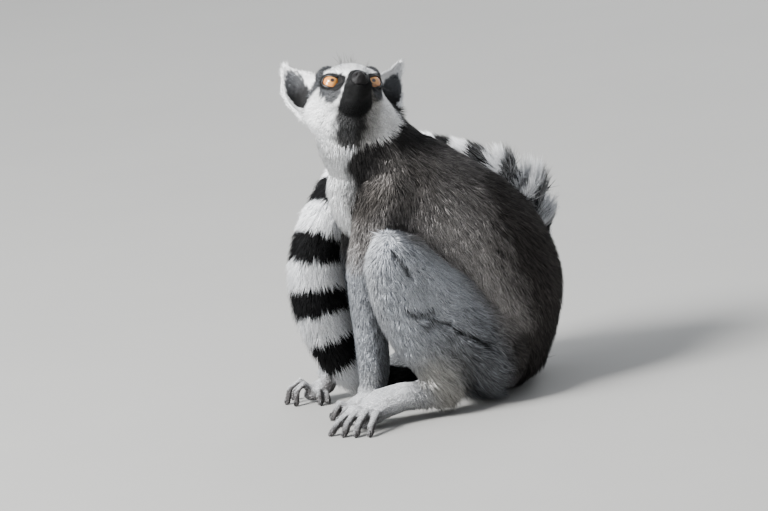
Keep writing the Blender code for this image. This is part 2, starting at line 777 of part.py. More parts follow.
def make_tail(home, flesh_cutter, scrap):
    """The tail with its loose locks as one solid, parted into its black and white rings."""
    tail = tail_rows()
    rows, along, total = tail
    sections = np.array([[*row[:3], row[3], row[3]] for row in rows])
    sections = np.vstack([sections, round_ends(sections, LIGHT_DOME)[-2:]])
    whole = loft("tail", sections, home, sides=TAIL_SIDES)
    ends = ring_ends(total)
    for ring in LOCK_RINGS:
        share = (ends[ring] + ends[ring + 1] - LOCK_REACH / total) / 2
        for k in range(LOCKS_ROUND):
            tail_lock(tail, share, 2 * math.pi * (k + 0.5 * (ring % 2)) / LOCKS_ROUND, scrap)
    join_by_boolean(whole, scrap, "UNION")
    scrap.objects.link(flesh_cutter)
    home.objects.unlink(flesh_cutter)
    join_by_boolean(whole, scrap, "DIFFERENCE")
    cut_at_floor(whole, scrap)
    keep_largest(whole)
    middles = [tail_at(tail, (low + high) / 2)[0] for low, high in zip(ends, ends[1:])]
    for share in ends[1:-1]:
        centre, radius, direction = tail_at(tail, share)[:3]
        size = 2 * (radius + TAIL_CUT_REACH)
        plate("ring_end", centre, direction, (0.3, 0.2, 0.93), size, size, scrap)
    join_by_boolean(whole, scrap, "DIFFERENCE")
    largest = {}
    for mesh in loose_pieces(whole):
        points = np.array([v.co for v in mesh.vertices]) / MM
        centre = (points.min(0) + points.max(0)) / 2
        number = int(np.argmin([np.linalg.norm(centre - middle) for middle in middles]))
        if number not in largest or mesh_volume(mesh) > mesh_volume(largest[number]):
            largest[number] = mesh
    for number, mesh in sorted(largest.items()):
        colour = "black" if (len(middles) - 1 - number) % 2 == 0 else "white"
        add_object(f"tail_{number + 1:02d}_{colour}", mesh, home)
    remove_object(whole)


def mesh_volume(mesh):
    bm = bmesh.new()
    bm.from_mesh(mesh)
    volume = abs(bm.calc_volume())
    bm.free()
    return volume


def grown(obj, home, by=0.4):
    """A copy of a closed mesh, a little larger all round, used to cut what must stay clear of it."""
    copy = add_object(obj.name + "_grown", obj.data.copy(), home)
    copy.data.update()
    points = [v.co + v.normal * by * MM for v in copy.data.vertices]
    for vertex, point in zip(copy.data.vertices, points):
        vertex.co = point
    return copy


def cut_at_floor(obj, scrap):
    """Takes off what is below the plane that the lemur sits on, which leaves small flats at one level."""
    floor = plate("floor", (0, 0, -25), (0, 0, 1), (1, 0, 0), 600, 600, scrap, thickness=50)
    floor.name = "floor_cutter"
    return join_by_boolean(obj, scrap, "DIFFERENCE")


def centre_on_base(objects):
    """Moves the objects so that their common box stands on the origin."""
    points = np.array([obj.matrix_world @ v.co for obj in objects for v in obj.data.vertices])
    low, high = points.min(0), points.max(0)
    shift = Vector((-(low[0] + high[0]) / 2, -(low[1] + high[1]) / 2, -low[2]))
    for obj in objects:
        obj.data.transform(Matrix.Translation(shift))


MATERIALS = {
    "coat_back": ((0.20, 0.17, 0.155), 0.9),
    "coat_limbs": ((0.42, 0.42, 0.43), 0.9),
    "coat_white": ((0.80, 0.80, 0.79), 0.9),
    "coat_black": ((0.018, 0.018, 0.020), 0.9),
    "ear_skin": ((0.62, 0.62, 0.62), 0.85),
    "nose_leather": ((0.015, 0.014, 0.015), 0.45),
    "eye_amber": ((0.55, 0.22, 0.05), 0.12),
    "paws": ((0.50, 0.50, 0.51), 0.8),
}


def slot_of(name):
    if name.startswith("tail"):
        return "coat_black" if name.endswith("black") else "coat_white"
    if name.startswith("eye"):
        return "eye_amber"
    if name.startswith("ear"):
        return "ear_skin"
    if name == "nose":
        return "nose_leather"
    if name in ("head", "neck"):
        return "coat_white"
    if name.startswith(("hand", "foot")):
        return "paws"
    if name == "torso" or name.startswith("upper_arm"):
        return "coat_back"
    return "coat_limbs"


def main():
    empty_scene()
    lemur = collection("ring_tailed_lemur")
    scrap = collection("scrap")
    flesh = make_flesh(lemur, scrap)
    paws = make_paws(lemur, scrap)
    join_by_boolean(flesh, paws, "UNION")
    bpy.data.collections.remove(paws)
    cut_at_floor(flesh, scrap)
    cutter = grown(flesh, lemur)
    part_flesh(flesh, lemur, scrap)
    for side, sign in (("right", 1), ("left", -1)):
        ear = make_ear("ear_" + side, sign, lemur)
        clear = ear.modifiers.new("Clear", "BOOLEAN")
        clear.operation = "DIFFERENCE"
        clear.solver = "MANIFOLD"
        clear.object = cutter
        apply_modifiers(ear)
        keep_largest(ear)
        make_eye("eye_" + side, sign, lemur)
    make_tail(lemur, cutter, scrap)
    bpy.data.collections.remove(scrap)
    slots = {name: material(name, *looks) for name, looks in MATERIALS.items()}
    for obj in lemur.objects:
        obj.data.materials.clear()
        obj.data.materials.append(slots[slot_of(obj.name)])
        obj.data.name = obj.name
    centre_on_base(list(lemur.objects))


def keep_largest(obj):
    """Drops loose scraps that a cut leaves."""
    pieces = loose_pieces(obj)
    if len(pieces) == 1:
        return
    old = obj.data
    obj.data = max(pieces, key=mesh_volume)
    bpy.data.meshes.remove(old)


main()
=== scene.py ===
import math

import bmesh
import bpy
import numpy as np
from mathutils import Matrix, Vector
from mathutils.bvhtree import BVHTree


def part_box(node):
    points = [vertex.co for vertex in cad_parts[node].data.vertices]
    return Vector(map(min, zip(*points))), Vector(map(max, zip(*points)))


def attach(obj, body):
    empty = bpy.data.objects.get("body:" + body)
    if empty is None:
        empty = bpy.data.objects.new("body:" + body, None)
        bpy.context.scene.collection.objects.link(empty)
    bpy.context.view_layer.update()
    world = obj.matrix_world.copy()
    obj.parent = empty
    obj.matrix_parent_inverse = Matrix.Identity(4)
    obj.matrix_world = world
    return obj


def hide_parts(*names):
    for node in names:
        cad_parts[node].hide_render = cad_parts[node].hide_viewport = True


bl_info = {
    "name": "Ring-tailed lemur, sitting",
    "version": (1, 0, 0),
    "blender": (4, 5, 0),
    "location": "View3D > Sidebar > Lemur",
    "description": "Skin, coat, eyes and banded tail of a life-size sitting ring-tailed lemur",
    "category": "Object",
}

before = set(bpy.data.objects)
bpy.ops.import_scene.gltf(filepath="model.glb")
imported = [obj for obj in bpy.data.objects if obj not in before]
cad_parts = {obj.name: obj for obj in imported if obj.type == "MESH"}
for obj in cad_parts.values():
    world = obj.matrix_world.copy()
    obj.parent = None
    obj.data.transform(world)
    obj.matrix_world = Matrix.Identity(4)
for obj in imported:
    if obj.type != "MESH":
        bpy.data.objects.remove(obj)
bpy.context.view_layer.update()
MM = 0.001

# Sizes and places are in millimetres where nothing else is said. The design frame has +Z up and the
# body's front to -X, and design_shift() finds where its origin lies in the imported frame.

# The head's own frame: +X to the lemur's right, +Y forward, +Z to the crown, origin between the eyes,
# which HEAD_PLACE gives in the design frame
HEAD_PLACE = (-33.5, -49, 307.6)
FACE_DIRECTION = (0.1976, -0.7808, 0.5927)
CROWN_DIRECTION = (0.0392, 0.6104, 0.7911)
EYE_NODE = (16.6, -8.8, 0.5)  # middle of the right eye's node
EYE_CENTRE = (17.9, -8.2, 2.2)
EYE_RADIUS = 8.2
EYE_SUNK = 0.35  # how far the ball lies behind the centre of the lids' curve
CORNEA_RISE = 0.07  # as a share of the radius
CORNEA_HALF = math.radians(50)
PUPIL_COLOUR = (0.004, 0.003, 0.003, 1)
GAZE = (0.09, 0.985, -0.1)
LID_AXIS = (0.12, 0.95, -0.28)
ROUNDNESS = 2.6  # of the opening's outline: 2 is an ellipse, more is fuller at the corners
EYE_OPENING = (8.5, 4.7)
OPENING_TURN = 20  # how far the inner corner of the lids is turned down, in degrees
LID_WIDTH = 2.8
LID_STEPS = 64
SOCKET = 9.6  # how far the skin lies from an eye's centre beside the lids
# Section of the lids' dark band: share of its width outward, and height over the eyeball
LID_PROFILE = [(0, 0.2), (0, 0.75), (0.12, 1.15), (0.4, 1.35), (0.75, 1.2), (1, 0.6), (0.5, 0.2)]
NOSE_TIP = (0, 40, -15.4)
NOSE_SWELL = 0.4
NOSE_GRAIN = 0.45  # at which the nose is melted into one smooth form

FLESH = ["head", "neck", "torso"] + [
    f"{name}_{side}"
    for name in ("ear", "upper_arm", "forearm", "hand", "thigh", "shin", "foot")
    for side in ("left", "right")
]
TAIL_NODES = sorted(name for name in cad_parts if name.startswith("tail_"))

# Coat of each part: depth over the skin, length, width and spacing of its tufts, in millimetres,
# how much the skin under it is smoothed, and its material slot
COATS = {
    "head": (2.2, 6, 0.8, 1.0, 0.12, "coat_white"),
    "neck": (4.5, 14, 0.7, 0.98, 1, "coat_white"),
    "torso": (5.5, 15, 0.78, 1.14, 1, "coat_back"),
    "ear": (0.2, 4.2, 0.5, 0.86, 0.05, "ear_skin"),
    "upper_arm": (4.5, 13, 0.76, 1.12, 1, "coat_back"),
    "forearm": (3, 9, 0.7, 0.94, 0.8, "coat_limbs"),
    "hand": (0.4, 2.6, 0.55, 0.86, 0.1, "paws"),
    "thigh": (5, 13, 0.76, 1.12, 1, "coat_limbs"),
    "shin": (4.5, 12, 0.76, 1.1, 1, "coat_limbs"),
    "foot": (0.6, 3, 0.6, 0.92, 0.12, "paws"),
}
# On the head the coat grows with the distance from the lips: distance, depth, length, width, spacing
FACE_MIDDLE = (0, 24, -12)
HEAD_COAT = [
    (0, 0.3, 1.8, 0.42, 0.68),
    (18, 0.4, 2.3, 0.46, 0.7),
    (32, 1.3, 4, 0.56, 0.76),
    (48, 3, 8, 0.56, 0.82),
    (75, 4, 8.5, 0.54, 0.86),
]
EYE_CLEARING = (9.6, 7)  # half width and half height around each eye without tufts
TUFT_ARRAYS = ("roots", "ways", "bends", "sides", "lengths", "widths")
TUFTS_IN_PIECE = 30000
TUFT_BELLY = 0.42  # where a tuft is widest, as a share of its length
TUFT_RISE = 0.7  # of its back there, as a share of half its width
SHEET = 1050.0  # width of the sheet on which the coat is laid out flat, in millimetres
PATCH = 0.003  # width of a tuft's patch, as a share of the sheet

# How the skin is made: how much the parts are swollen to run into each other, what it is drawn in
# beyond the coat's depth, how deep it sinks along a crease, and its least height, in millimetres
OVERLAP = 0.35
DRAWN_IN = 0.35
CREASE = 2.5
LEAST_HEIGHT = 0.2
JAW_ROUNDS = 260  # of relaxing where the jaw runs into the neck
# How much single tufts differ in colour: on each part, and at a brightness of the coat
GRIZZLE = {"ear": 2, "head": 0.7, "forearm": 0.7}
GRIZZLE_AT = [(0.01, 0.9), (0.04, 1.7), (0.12, 1.5), (0.3, 0.9), (0.7, 0.32)]

# The lie of the coat: points in the model's design frame, in millimetres, and where the hair points
LIE = {
    "neck": [
        ((-65, -45, 262), (-0.25, -0.1, -1)),
        ((-30, -58, 250), (0.1, -0.2, -1)),
        ((-10, -10, 265), (0.55, 0.1, -0.8)),
        ((-45, 20, 250), (0.0, 0.3, -1)),
    ],
    "torso": [
        ((-62, -25, 225), (-0.25, 0, -1)),
        ((-50, -20, 170), (0.15, 0, -1)),
        ((-30, -55, 225), (-0.3, 0, -1)),
        ((0, -20, 235), (0.6, 0, -0.8)),
        ((-5, -45, 190), (0.35, 0, -0.95)),
        ((45, -5, 200), (0.7, 0, -0.7)),
        ((35, -50, 140), (0.45, 0, -0.9)),
        ((105, 5, 150), (0.4, 0, -0.9)),
        ((80, -45, 100), (0.25, 0, -0.97)),
        ((125, 10, 90), (0.05, 0, -1)),
        ((70, -40, 35), (-0.35, 0, -0.95)),
        ((100, 10, 25), (-0.5, 0, -0.8)),
        ((10, 10, 60), (0.2, 0, -0.9)),
    ],
    "upper_arm": [((-20, 0, 200), (-0.15, 0, -1)), ((-40, 0, 150), (-0.2, 0, -1))],
    "forearm": [((-50, 0, 100), (-0.1, 0, -1)), ((-60, 0, 50), (0.1, 0, -1))],
    "thigh": [
        ((-18, 0, 160), (0.3, 0, -0.95)),
        ((15, 0, 120), (0.6, 0, -0.8)),
        ((45, 0, 80), (0.9, 0, -0.45)),
        ((25, 0, 45), (0.65, 0, -0.76)),
        ((60, 0, 35), (0.7, 0, -0.7)),
    ],
    "shin": [
        ((-38, 0, 140), (0.05, 0, -1)),
        ((-20, 0, 100), (0.2, 0, -1)),
        ((10, 0, 85), (0.6, 0, -0.75)),
        ((-5, 0, 50), (0.45, 0, -0.9)),
        ((18, 0, 32), (0.5, 0, -0.87)),
    ],
    "hand": [((-60, 0, 10), (-1, 0, -0.25))],
    "foot": [
        ((-30, 0, 10), (-1, 0, -0.1)),
        ((6, 0, 22), (0.5, 0, -0.85)),
        ((20, 0, 12), (0.75, 0, -0.65)),
    ],
}
# Edges between colours on either side of the body, as a height z and the x of the edge there
CHEST_EDGE = [
    (100, -70), (156, -68), (185, -67), (210, -63), (228, -55), (241, -44), (256, -27), (270, -14),
    (285, 0),
]
HAUNCH_EDGE = [(0, 66), (30, 76), (55, 74), (89, 64), (130, 40), (158, 12), (172, -6), (190, -28)]
# Soft spots of colour, as x, z and reach: browner ones on the shoulder with their strength, and the
# cream one over the heel
SHOULDER_SPOTS = [(-32, 200, 20, 1), (10, 215, 26, 0.7)]
HEEL_SPOT = (6, 38, 15)
# Tone of the leg at a share of the way from the knee's front to the haunch's rear
# The tones are partly the coat's own and partly painted light at the front and painted shade at the rear
LEG_TONES = [(-0.2, 1.5), (0, 1.45), (0.45, 1.4), (0.75, 0.88), (1, 0.42)]
# Partings of the coat on the knee and shin, darkened with painted shade: each a line in x and z and its
# width
PARTINGS = [
    ((-17, 160), (-11, 152), (-5, 138), 2.2),
    ((-12, 107), (-2, 101), (12, 101), 1.8),
    ((2, 90), (12, 92), (26, 84), 1.8),
    ((30, 78), (44, 70), (56, 58), 2.2),
]
# Outlines in the head's frame, as x and z on its right side: the dark patch round the eye, and the
# ear's cup
EYE_PATCH = [
    (28.6, 6), (28.9, -4.3), (25.4, -16.4), (18.4, -19), (14, -17), (13.2, -11.6), (12.4, -0.7),
    (10.8, 5), (14.5, 8.6), (22, 8.8),
]
EAR_CUP = [
    (50, 35.5), (45, 33.4), (38.6, 27.6), (33, 17.3), (30.4, 4.8), (36, -4), (44.6, 0), (51.4, 10.8),
    (53.4, 23.1),
]
EAR_MIDDLE = (28, -37, 3)
# Half width of the black muzzle at a height z, and how far forward it begins there
MUZZLE_EDGE = [
    (-31, 10), (-27, 13), (-24, 14), (-17.6, 13.2), (-13.4, 11.4), (-8.2, 9.4), (-0.1, 6), (4, 4),
]
MUZZLE_REAR = [(-18, -9), (-15, 8), (-8, 13), (4, 15)]
# Half width of the dark throat at a place y; the throat is partly painted shade under the jaw
THROAT_EDGE = [(-54, 6), (-34, 12), (-18, 14.5), (-8, 15)]
# At a distance from the head's middle, how far forward the dark crown reaches, and how low
HAIRLINE = [(0, -28), (9, -25), (15, -20), (19, -13), (26, -9)]
CROWN_EDGE = [(14, 6), (24, 1)]

# Last joint and tip of each digit in the paw's frame: +X forward, +Y to the outer side
TOE_ENDS = [
    ((80, -20, 9), (93, -21, 2.6)),
    ((100, 5, 10), (108, 8, 2.5)),
    ((94, 16, 10), (99, 20, 2.5)),
    ((86, 24, 9.5), (90, 29, 2.5)),
    ((76, 32, 8.5), (79, 37, 2.5)),
]
LEFT_FINGER_ENDS = [
    ((13, -12, 7), (19, -14, 2.3)),
    ((25, -9, 12), (31, -11, 2)),
    ((28, -3, 14), (36, -4, 2)),
    ((27, 4, 14), (35, 5, 2)),
    ((23, 11, 10), (30, 13, 1.9)),
]
RIGHT_FINGER_ENDS = [
    ((6, -12, 8), (5, -18, 2.2)),
    ((13, -14, 13), (12, -20, 2.1)),
    ((32, -9, 13), (34, -10, 2)),
    ((38, 1, 15), (42, 1, 2)),
    ((34, 15, 9), (36, 16, 1.9)),
]
# Where each paw stands, its heading in degrees, the side of its outer digits, and its digits
PAWS = {
    "foot_left": ((13, -66, 0), 192, 1, TOE_ENDS),
    "foot_right": ((44, 78, 0), 176, -1, TOE_ENDS),
    "hand_left": ((-53, -32, 0), 178, 1, LEFT_FINGER_ENDS),
    "hand_right": ((-86, 50, 0), 180, -1, RIGHT_FINGER_ENDS),
}
DIGIT_RADIUS = 3.4
NAIL = (6.0, 3.4, 1.5)  # length, width and thickness
NAIL_GRID = (7, 6)  # points along and across

# Whiskers in the head's frame: root on the right side, direction, length and number on each side
WHISKERS = [
    ((11, 24, -14), (0.85, 0.1, -0.35), 22, 7),
    ((13, 2, 11), (0.45, -0.1, 0.9), 15, 3),
    ((4, -27, 26), (0.12, -0.1, 1), 19, 11),
]
WHISKER_RADIUS = 0.2

# Tail: centre line and half thickness out to the tips of the coat
TAIL = [
    ((94, 50, 16.5), 14),
    ((99, 68, 22), 15),
    ((103, 80, 38), 16.5),
    ((106, 86, 60), 18.5),
    ((109, 84, 92), 20.5),
    ((111, 76, 124), 22),
    ((108, 66, 150), 24),
    ((97, 59, 172), 26),
    ((73, 57, 189), 26),
    ((44, 61, 202), 24),
    ((15, 66, 211), 23.5),
    ((-12, 67, 214), 22),
    ((-36, 57, 209), 21),
    ((-55, 40, 197), 20.5),
    ((-69, 25, 182), 21.5),
    ((-79, 17, 165), 24),
    ((-85.5, 13, 146), 27),
    ((-88, 11, 126), 28.5),
    ((-88, 9, 102), 28),
    ((-84.5, 7, 80), 26),
    ((-78, 5, 59), 23),
    ((-67, 5, 40), 21),
    ((-52, 5, 27), 19.5),
    ((-34, 5, 18.5), 19.5),
    ((-12, 2, 15), 16.5),
    ((2, 0, 11), 11),
]
TAIL_CORE = 0.42  # of the half thickness
TAIL_TUFTS = 47000
TAIL_TUFT = (24, 1.3)  # length and width
# How far the coat stands out beyond the tail's half thickness, at a share of its length:
# white hair stands out in full there, and black hair lies low among it
FLUFF = [(0.09, 0), (0.13, -6), (0.2, -7), (0.225, 4), (0.25, 16), (0.3, 15), (0.335, 5), (0.36, 0)]
BLACK_FLUFF = -0.7
TAIL_STEPS = 4000  # into which the tail is cut to share out its tufts
TAIL_TURN = 2.399963  # from one tuft to the next round the tail, in radians

# Finish of each material: roughness, specular level, and the scale and strength of its speckle, with
# the strength and depth of the relief that goes with it
FINISHES = {
    "coat": (0.7, 0.1, 900, 0.4),
    "skin": (0.75, 0.2, 1400, 0.35, 0.6, 0.0004),
    "lid_skin": (0.45, 0.4, 1800, 0.4, 0.4, 0.0002),
    "nose_leather": (0.46, 0.14, 1500, 0.3, 0.7, 0.0003),
    "nail": (0.3, 0.5, 2500, 0.3, 0.2, 0.0001),
    "whisker": (0.4, 0.4, 700, 0.2),
    "floor": (0.8, 0.2, 3, 0.02),
}

# The picture: camera's aim to the right and up in millimetres, width of its sensor, and the lamps'
# aim in metres, and each lamp's name, place, size, power and colour
CAMERA_AIM = (-41.4, 130.05)
SENSOR = 36
LAMP_AIM = (0, 0, 0.18)
LAMPS = [
    ("key", (-2.9, -1.7, 2.9), 1.7, 690, (1.0, 0.99, 0.97)),
    ("side", (-3.4, -0.9, 0.7), 1.8, 240, (0.97, 0.99, 1.0)),
    ("back", (1.2, 2.4, 1.6), 1.6, 30, (0.95, 0.98, 1.0)),
]
SKY = (0.92, 0.95, 1.0, 1)
SKY_STRENGTH = 0.9
FLOOR_COLOUR = (0.29, 0.288, 0.28)


def lemur():
    """The settings that the sidebar shows."""
    return bpy.context.scene.lemur


def tint(name):
    """One of the colours of the settings."""
    return np.array(getattr(lemur(), name + "_colour"))


def apply_modifiers(obj):
    """Replaces the object's mesh by what its modifiers make of it."""
    graph = bpy.context.evaluated_depsgraph_get()
    mesh = bpy.data.meshes.new_from_object(obj.evaluated_get(graph))
    obj.modifiers.clear()
    old = obj.data
    obj.data = mesh
    bpy.data.meshes.remove(old)
    return obj


def add_piece(name, mesh, material, slot, *nodes):
    """Links a piece, gives it its finish and lets it ride on the lemur."""
    obj = bpy.data.objects.new(name, mesh)
    bpy.context.scene.collection.objects.link(obj)
    mesh.materials.clear()
    mesh.materials.append(material)
    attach(obj, "root")
    if nodes:
        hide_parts(*nodes)
    return obj


def head_frame():
    """The matrix that takes a point of the head's frame, in millimetres, to the model's design frame."""
    forward = Vector(FACE_DIRECTION).normalized()
    up = Vector(CROWN_DIRECTION)
    up = (up - forward * up.dot(forward)).normalized()
    turn = Matrix((forward.cross(up), forward, up)).transposed().to_4x4()
    return Matrix.Translation(HEAD_PLACE) @ turn


def design_shift():
    """Where the design frame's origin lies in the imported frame, read from an eye, in millimetres."""
    low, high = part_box("eye_right")
    return (low + high) / 2 / MM - head_frame() @ Vector(EYE_NODE)


SHIFT = np.array(design_shift())


def to_frame(points):
    """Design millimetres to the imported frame's metres."""
    return (np.asarray(points, float) + SHIFT) * MM


def to_design(points):
    """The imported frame's metres to millimetres in the design frame."""
    return np.asarray(points, float) / MM - SHIFT


def to_head(points):
    """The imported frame's metres to millimetres in the head's frame."""
    back = np.array(head_frame().inverted())
    return to_design(points) @ back[:3, :3].T + back[:3, 3]


def from_head(points):
    """Millimetres in the head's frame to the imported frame's metres."""
    there = np.array(head_frame())
    return to_frame(np.asarray(points, float) @ there[:3, :3].T + there[:3, 3])


def unit(vectors):
    """The vectors at length one."""
    return vectors / np.maximum(np.linalg.norm(vectors, axis=-1, keepdims=True), 1e-12)


def smoothstep(low, high, value):
    """0 before low and 1 beyond high, with a soft rise between them."""
    share = np.clip((value - low) / (high - low), 0, 1)
    return share * share * (3 - 2 * share)


def edge_at(edge, height):
    """The x of an edge between colours at each height."""
    return np.interp(height, *np.array(edge, float).T)


def waves(points, length, seed, count=7):
    """A smooth random value about -1 to 1 for each point, with bumps about so many millimetres long."""
    rng = np.random.default_rng(seed)
    value = np.zeros(len(points))
    for _ in range(count):
        direction = unit(rng.normal(size=3)) * rng.uniform(0.7, 1.5) * 2 * math.pi / length
        value += np.sin(points @ direction + rng.uniform(0, 2 * math.pi))
    return value / math.sqrt(count / 2) / 1.6


def points_of(mesh):
    """The mesh's vertices, one row each."""
    values = np.empty(len(mesh.vertices) * 3)
    mesh.vertices.foreach_get("co", values)
    return values.reshape(-1, 3)


def triangles_of(mesh):
    """The vertices of each triangle of the mesh."""
    mesh.calc_loop_triangles()
    values = np.empty(len(mesh.loop_triangles) * 3, np.int32)
    mesh.loop_triangles.foreach_get("vertices", values)
    return values.reshape(-1, 3)


def edges_of(mesh):
    """The two vertices of each edge of the mesh."""
    values = np.empty(len(mesh.edges) * 2, np.int32)
    mesh.edges.foreach_get("vertices", values)
    return values.reshape(-1, 2)


def vertex_normals(points, triangles):
    """The surface's direction at each vertex, weighted by the faces' areas."""
    a, b, c = (points[triangles[:, k]] for k in range(3))
    across = np.cross(b - a, c - a)
    normals = np.zeros_like(points)
    for k in range(3):
        for axis in range(3):
            normals[:, axis] += np.bincount(triangles[:, k], across[:, axis], len(points))
    return unit(normals)


def neighbour_sum(values, edges):
    """For each vertex, the sum of its neighbours' values."""
    total = np.empty_like(values)
    for axis in range(values.shape[1]):
        column = values[:, axis]
        total[:, axis] = np.bincount(edges[:, 0], column[edges[:, 1]], len(values))
        total[:, axis] += np.bincount(edges[:, 1], column[edges[:, 0]], len(values))
    return total


def relax(values, edges, times, strength=0.5, weight=None):
    """Moves each vertex's values towards the mean of its neighbours'."""
    values = values.copy()
    count = np.bincount(edges.ravel(), minlength=len(values))[:, None]
    share = strength if weight is None else strength * weight[:, None]
    for _ in range(times):
        values += share * (neighbour_sum(values, edges) / np.maximum(count, 1) - values)
    return values


def smooth_form(points, edges, times, weight):
    """Takes facets off a surface and keeps its volume, by turns of shrinking and swelling."""
    points = points.copy()
    count = np.maximum(np.bincount(edges.ravel(), minlength=len(points)), 1)[:, None]
    for _ in range(times):
        for strength in (0.6, -0.615):
            points += strength * weight[:, None] * (neighbour_sum(points, edges) / count - points)
    return points


def mesh_from(bm, name):
    """A smooth-shaded mesh from a bmesh, which is freed."""
    mesh = bpy.data.meshes.new(name)
    bm.to_mesh(mesh)
    bm.free()
    mesh.shade_smooth()
    return mesh


def swollen(node, distance):
    """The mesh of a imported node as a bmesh, with its surface moved out by so many millimetres."""
    bm = bmesh.new()
    bm.from_mesh(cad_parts[node].data)
    bmesh.ops.remove_doubles(bm, verts=bm.verts, dist=1e-6)
    bm.normal_update()
    moved = [v.co + v.normal * distance * MM for v in bm.verts]
    for vertex, point in zip(bm.verts, moved):
        vertex.co = point
    return bm


def bridge(bm, rings, closed=False):
    """Faces between rings of vertices in a row, and over its ends unless the row closes on itself."""
    for low, high in zip(rings, rings[1:] + rings[: int(closed)]):
        for k in range(len(low)):
            m = (k + 1) % len(low)
            bm.faces.new((low[k], low[m], high[m], high[k]))
    if not closed:
        bm.faces.new(rings[0][::-1])
        bm.faces.new(rings[-1])


def kind(node):
    """The coat that a flesh node wears: its name without a side."""
    return node.removesuffix("_left").removesuffix("_right")


def search_tree(nodes):
    """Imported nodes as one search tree, with the place in the list of the node that each face is of."""
    points, faces, owner = [], [], []
    for index, name in enumerate(nodes):
        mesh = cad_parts[name].data
        start = len(points)
        points += [v.co.copy() for v in mesh.vertices]
        for triangle in triangles_of(mesh):
            faces.append([start + int(k) for k in triangle])
            owner.append(index)
    return BVHTree.FromPolygons(points, faces), np.array(owner)


def label_points(points, tree, owner):
    """The place in the tree's list of the node nearest to each point."""
    found = [tree.find_nearest(Vector(point))[2] for point in points]
    return owner[np.array(found)]


def per_vertex(labels, column):
    """One column of COATS for each vertex."""
    values = np.array([COATS[kind(name)][column] for name in FLESH], float)
    return values[labels]


def softness(points, labels):
    """How much of each vertex's form is smoothed away: little on the face, much under long coat."""
    soft = per_vertex(labels, 4)
    on_head = belongs(labels, "head")
    away = np.linalg.norm(to_head(points) - FACE_MIDDLE, axis=1)
    soft[on_head] = (0.12 + 0.88 * smoothstep(40, 60, away))[on_head]
    return soft


def belongs(labels, *kinds):
    """Whether each label is that of a part of one of these kinds."""
    return np.isin(labels, [index for index, name in enumerate(FLESH) if kind(name) in kinds])


def eye_directions():
    """The axis of the right eye's lids, and the ways to their inner corner and to the upper lid."""
    axis = unit(np.array(LID_AXIS))
    across = unit(np.cross((0, 0, 1), axis))
    up = np.cross(axis, across)
    turn = math.radians(OPENING_TURN)
    cosine, sine = math.cos(turn), math.sin(turn)
    return axis, across * cosine - up * sine, across * sine + up * cosine


def way_from_eye(head):
    """The way from the nearer eye's centre to each point of the head's frame, as on the right side."""
    return np.column_stack([np.abs(head[:, 0]), head[:, 1:]]) - EYE_CENTRE


def from_eye(head):
    """How far each point of the head's frame lies from the nearer eye: inward, up and ahead of it."""
    axis, across, up = eye_directions()
    away = way_from_eye(head)
    return np.stack([away @ across, away @ up, away @ axis], 1)


def coat_fields(points, labels):
    """Depth, length, width and spacing of the coat at each vertex, in millimetres."""
    fields = np.stack([per_vertex(labels, column) for column in range(4)], 1)
    head, design = to_head(points), to_design(points)
    on_head = belongs(labels, "head")
    away = np.linalg.norm(head - FACE_MIDDLE, axis=1)
    distance, *columns = np.array(HEAD_COAT, float).T
    grown = np.stack([np.interp(away, distance, column) for column in columns], 1)
    by_eye = smoothstep(9, 17, np.linalg.norm(from_eye(head), axis=1))
    grown[:, 0] = 0.25 + (grown[:, 0] - 0.25) * by_eye
    grown[:, 1] *= 0.45 + 0.55 * by_eye
    fields[on_head] = grown[on_head]
    on_leg = belongs(labels, "thigh", "shin")
    x, z = design[:, 0], design[:, 2]
    fringe = smoothstep(66, 40, z) * smoothstep(-16, 2, x) * smoothstep(58, 42, x)
    fields[on_leg, 1] += 16 * fringe[on_leg]
    heel = belongs(labels, "foot") * smoothstep(-22, 10, x)
    fields += heel[:, None] * np.array((2.4, 13, 0.14, 0.1))
    on_ear = belongs(labels, "ear")
    edge = smoothstep(18, 26, np.linalg.norm((np.abs(head) - (38, 0, 14))[:, ::2], axis=1))
    fields[on_ear, 1] += 3.5 * edge[on_ear]
    fields[on_ear, 0] += 0.7 * edge[on_ear]
    return fields


def joined_flesh():
    """Every flesh node in one mesh, each a little larger so that they run into each other."""
    whole = bmesh.new()
    for name in FLESH:
        mesh = mesh_from(swollen(name, OVERLAP), "part")
        whole.from_mesh(mesh)
        bpy.data.meshes.remove(mesh)
    return mesh_from(whole, "skin")


def add_remesh(obj, grain):
    """Melts the parts of a mesh into one closed surface of this grain, in metres."""
    remesh = obj.modifiers.new("Melt", "REMESH")
    remesh.mode = "VOXEL"
    remesh.voxel_size = grain


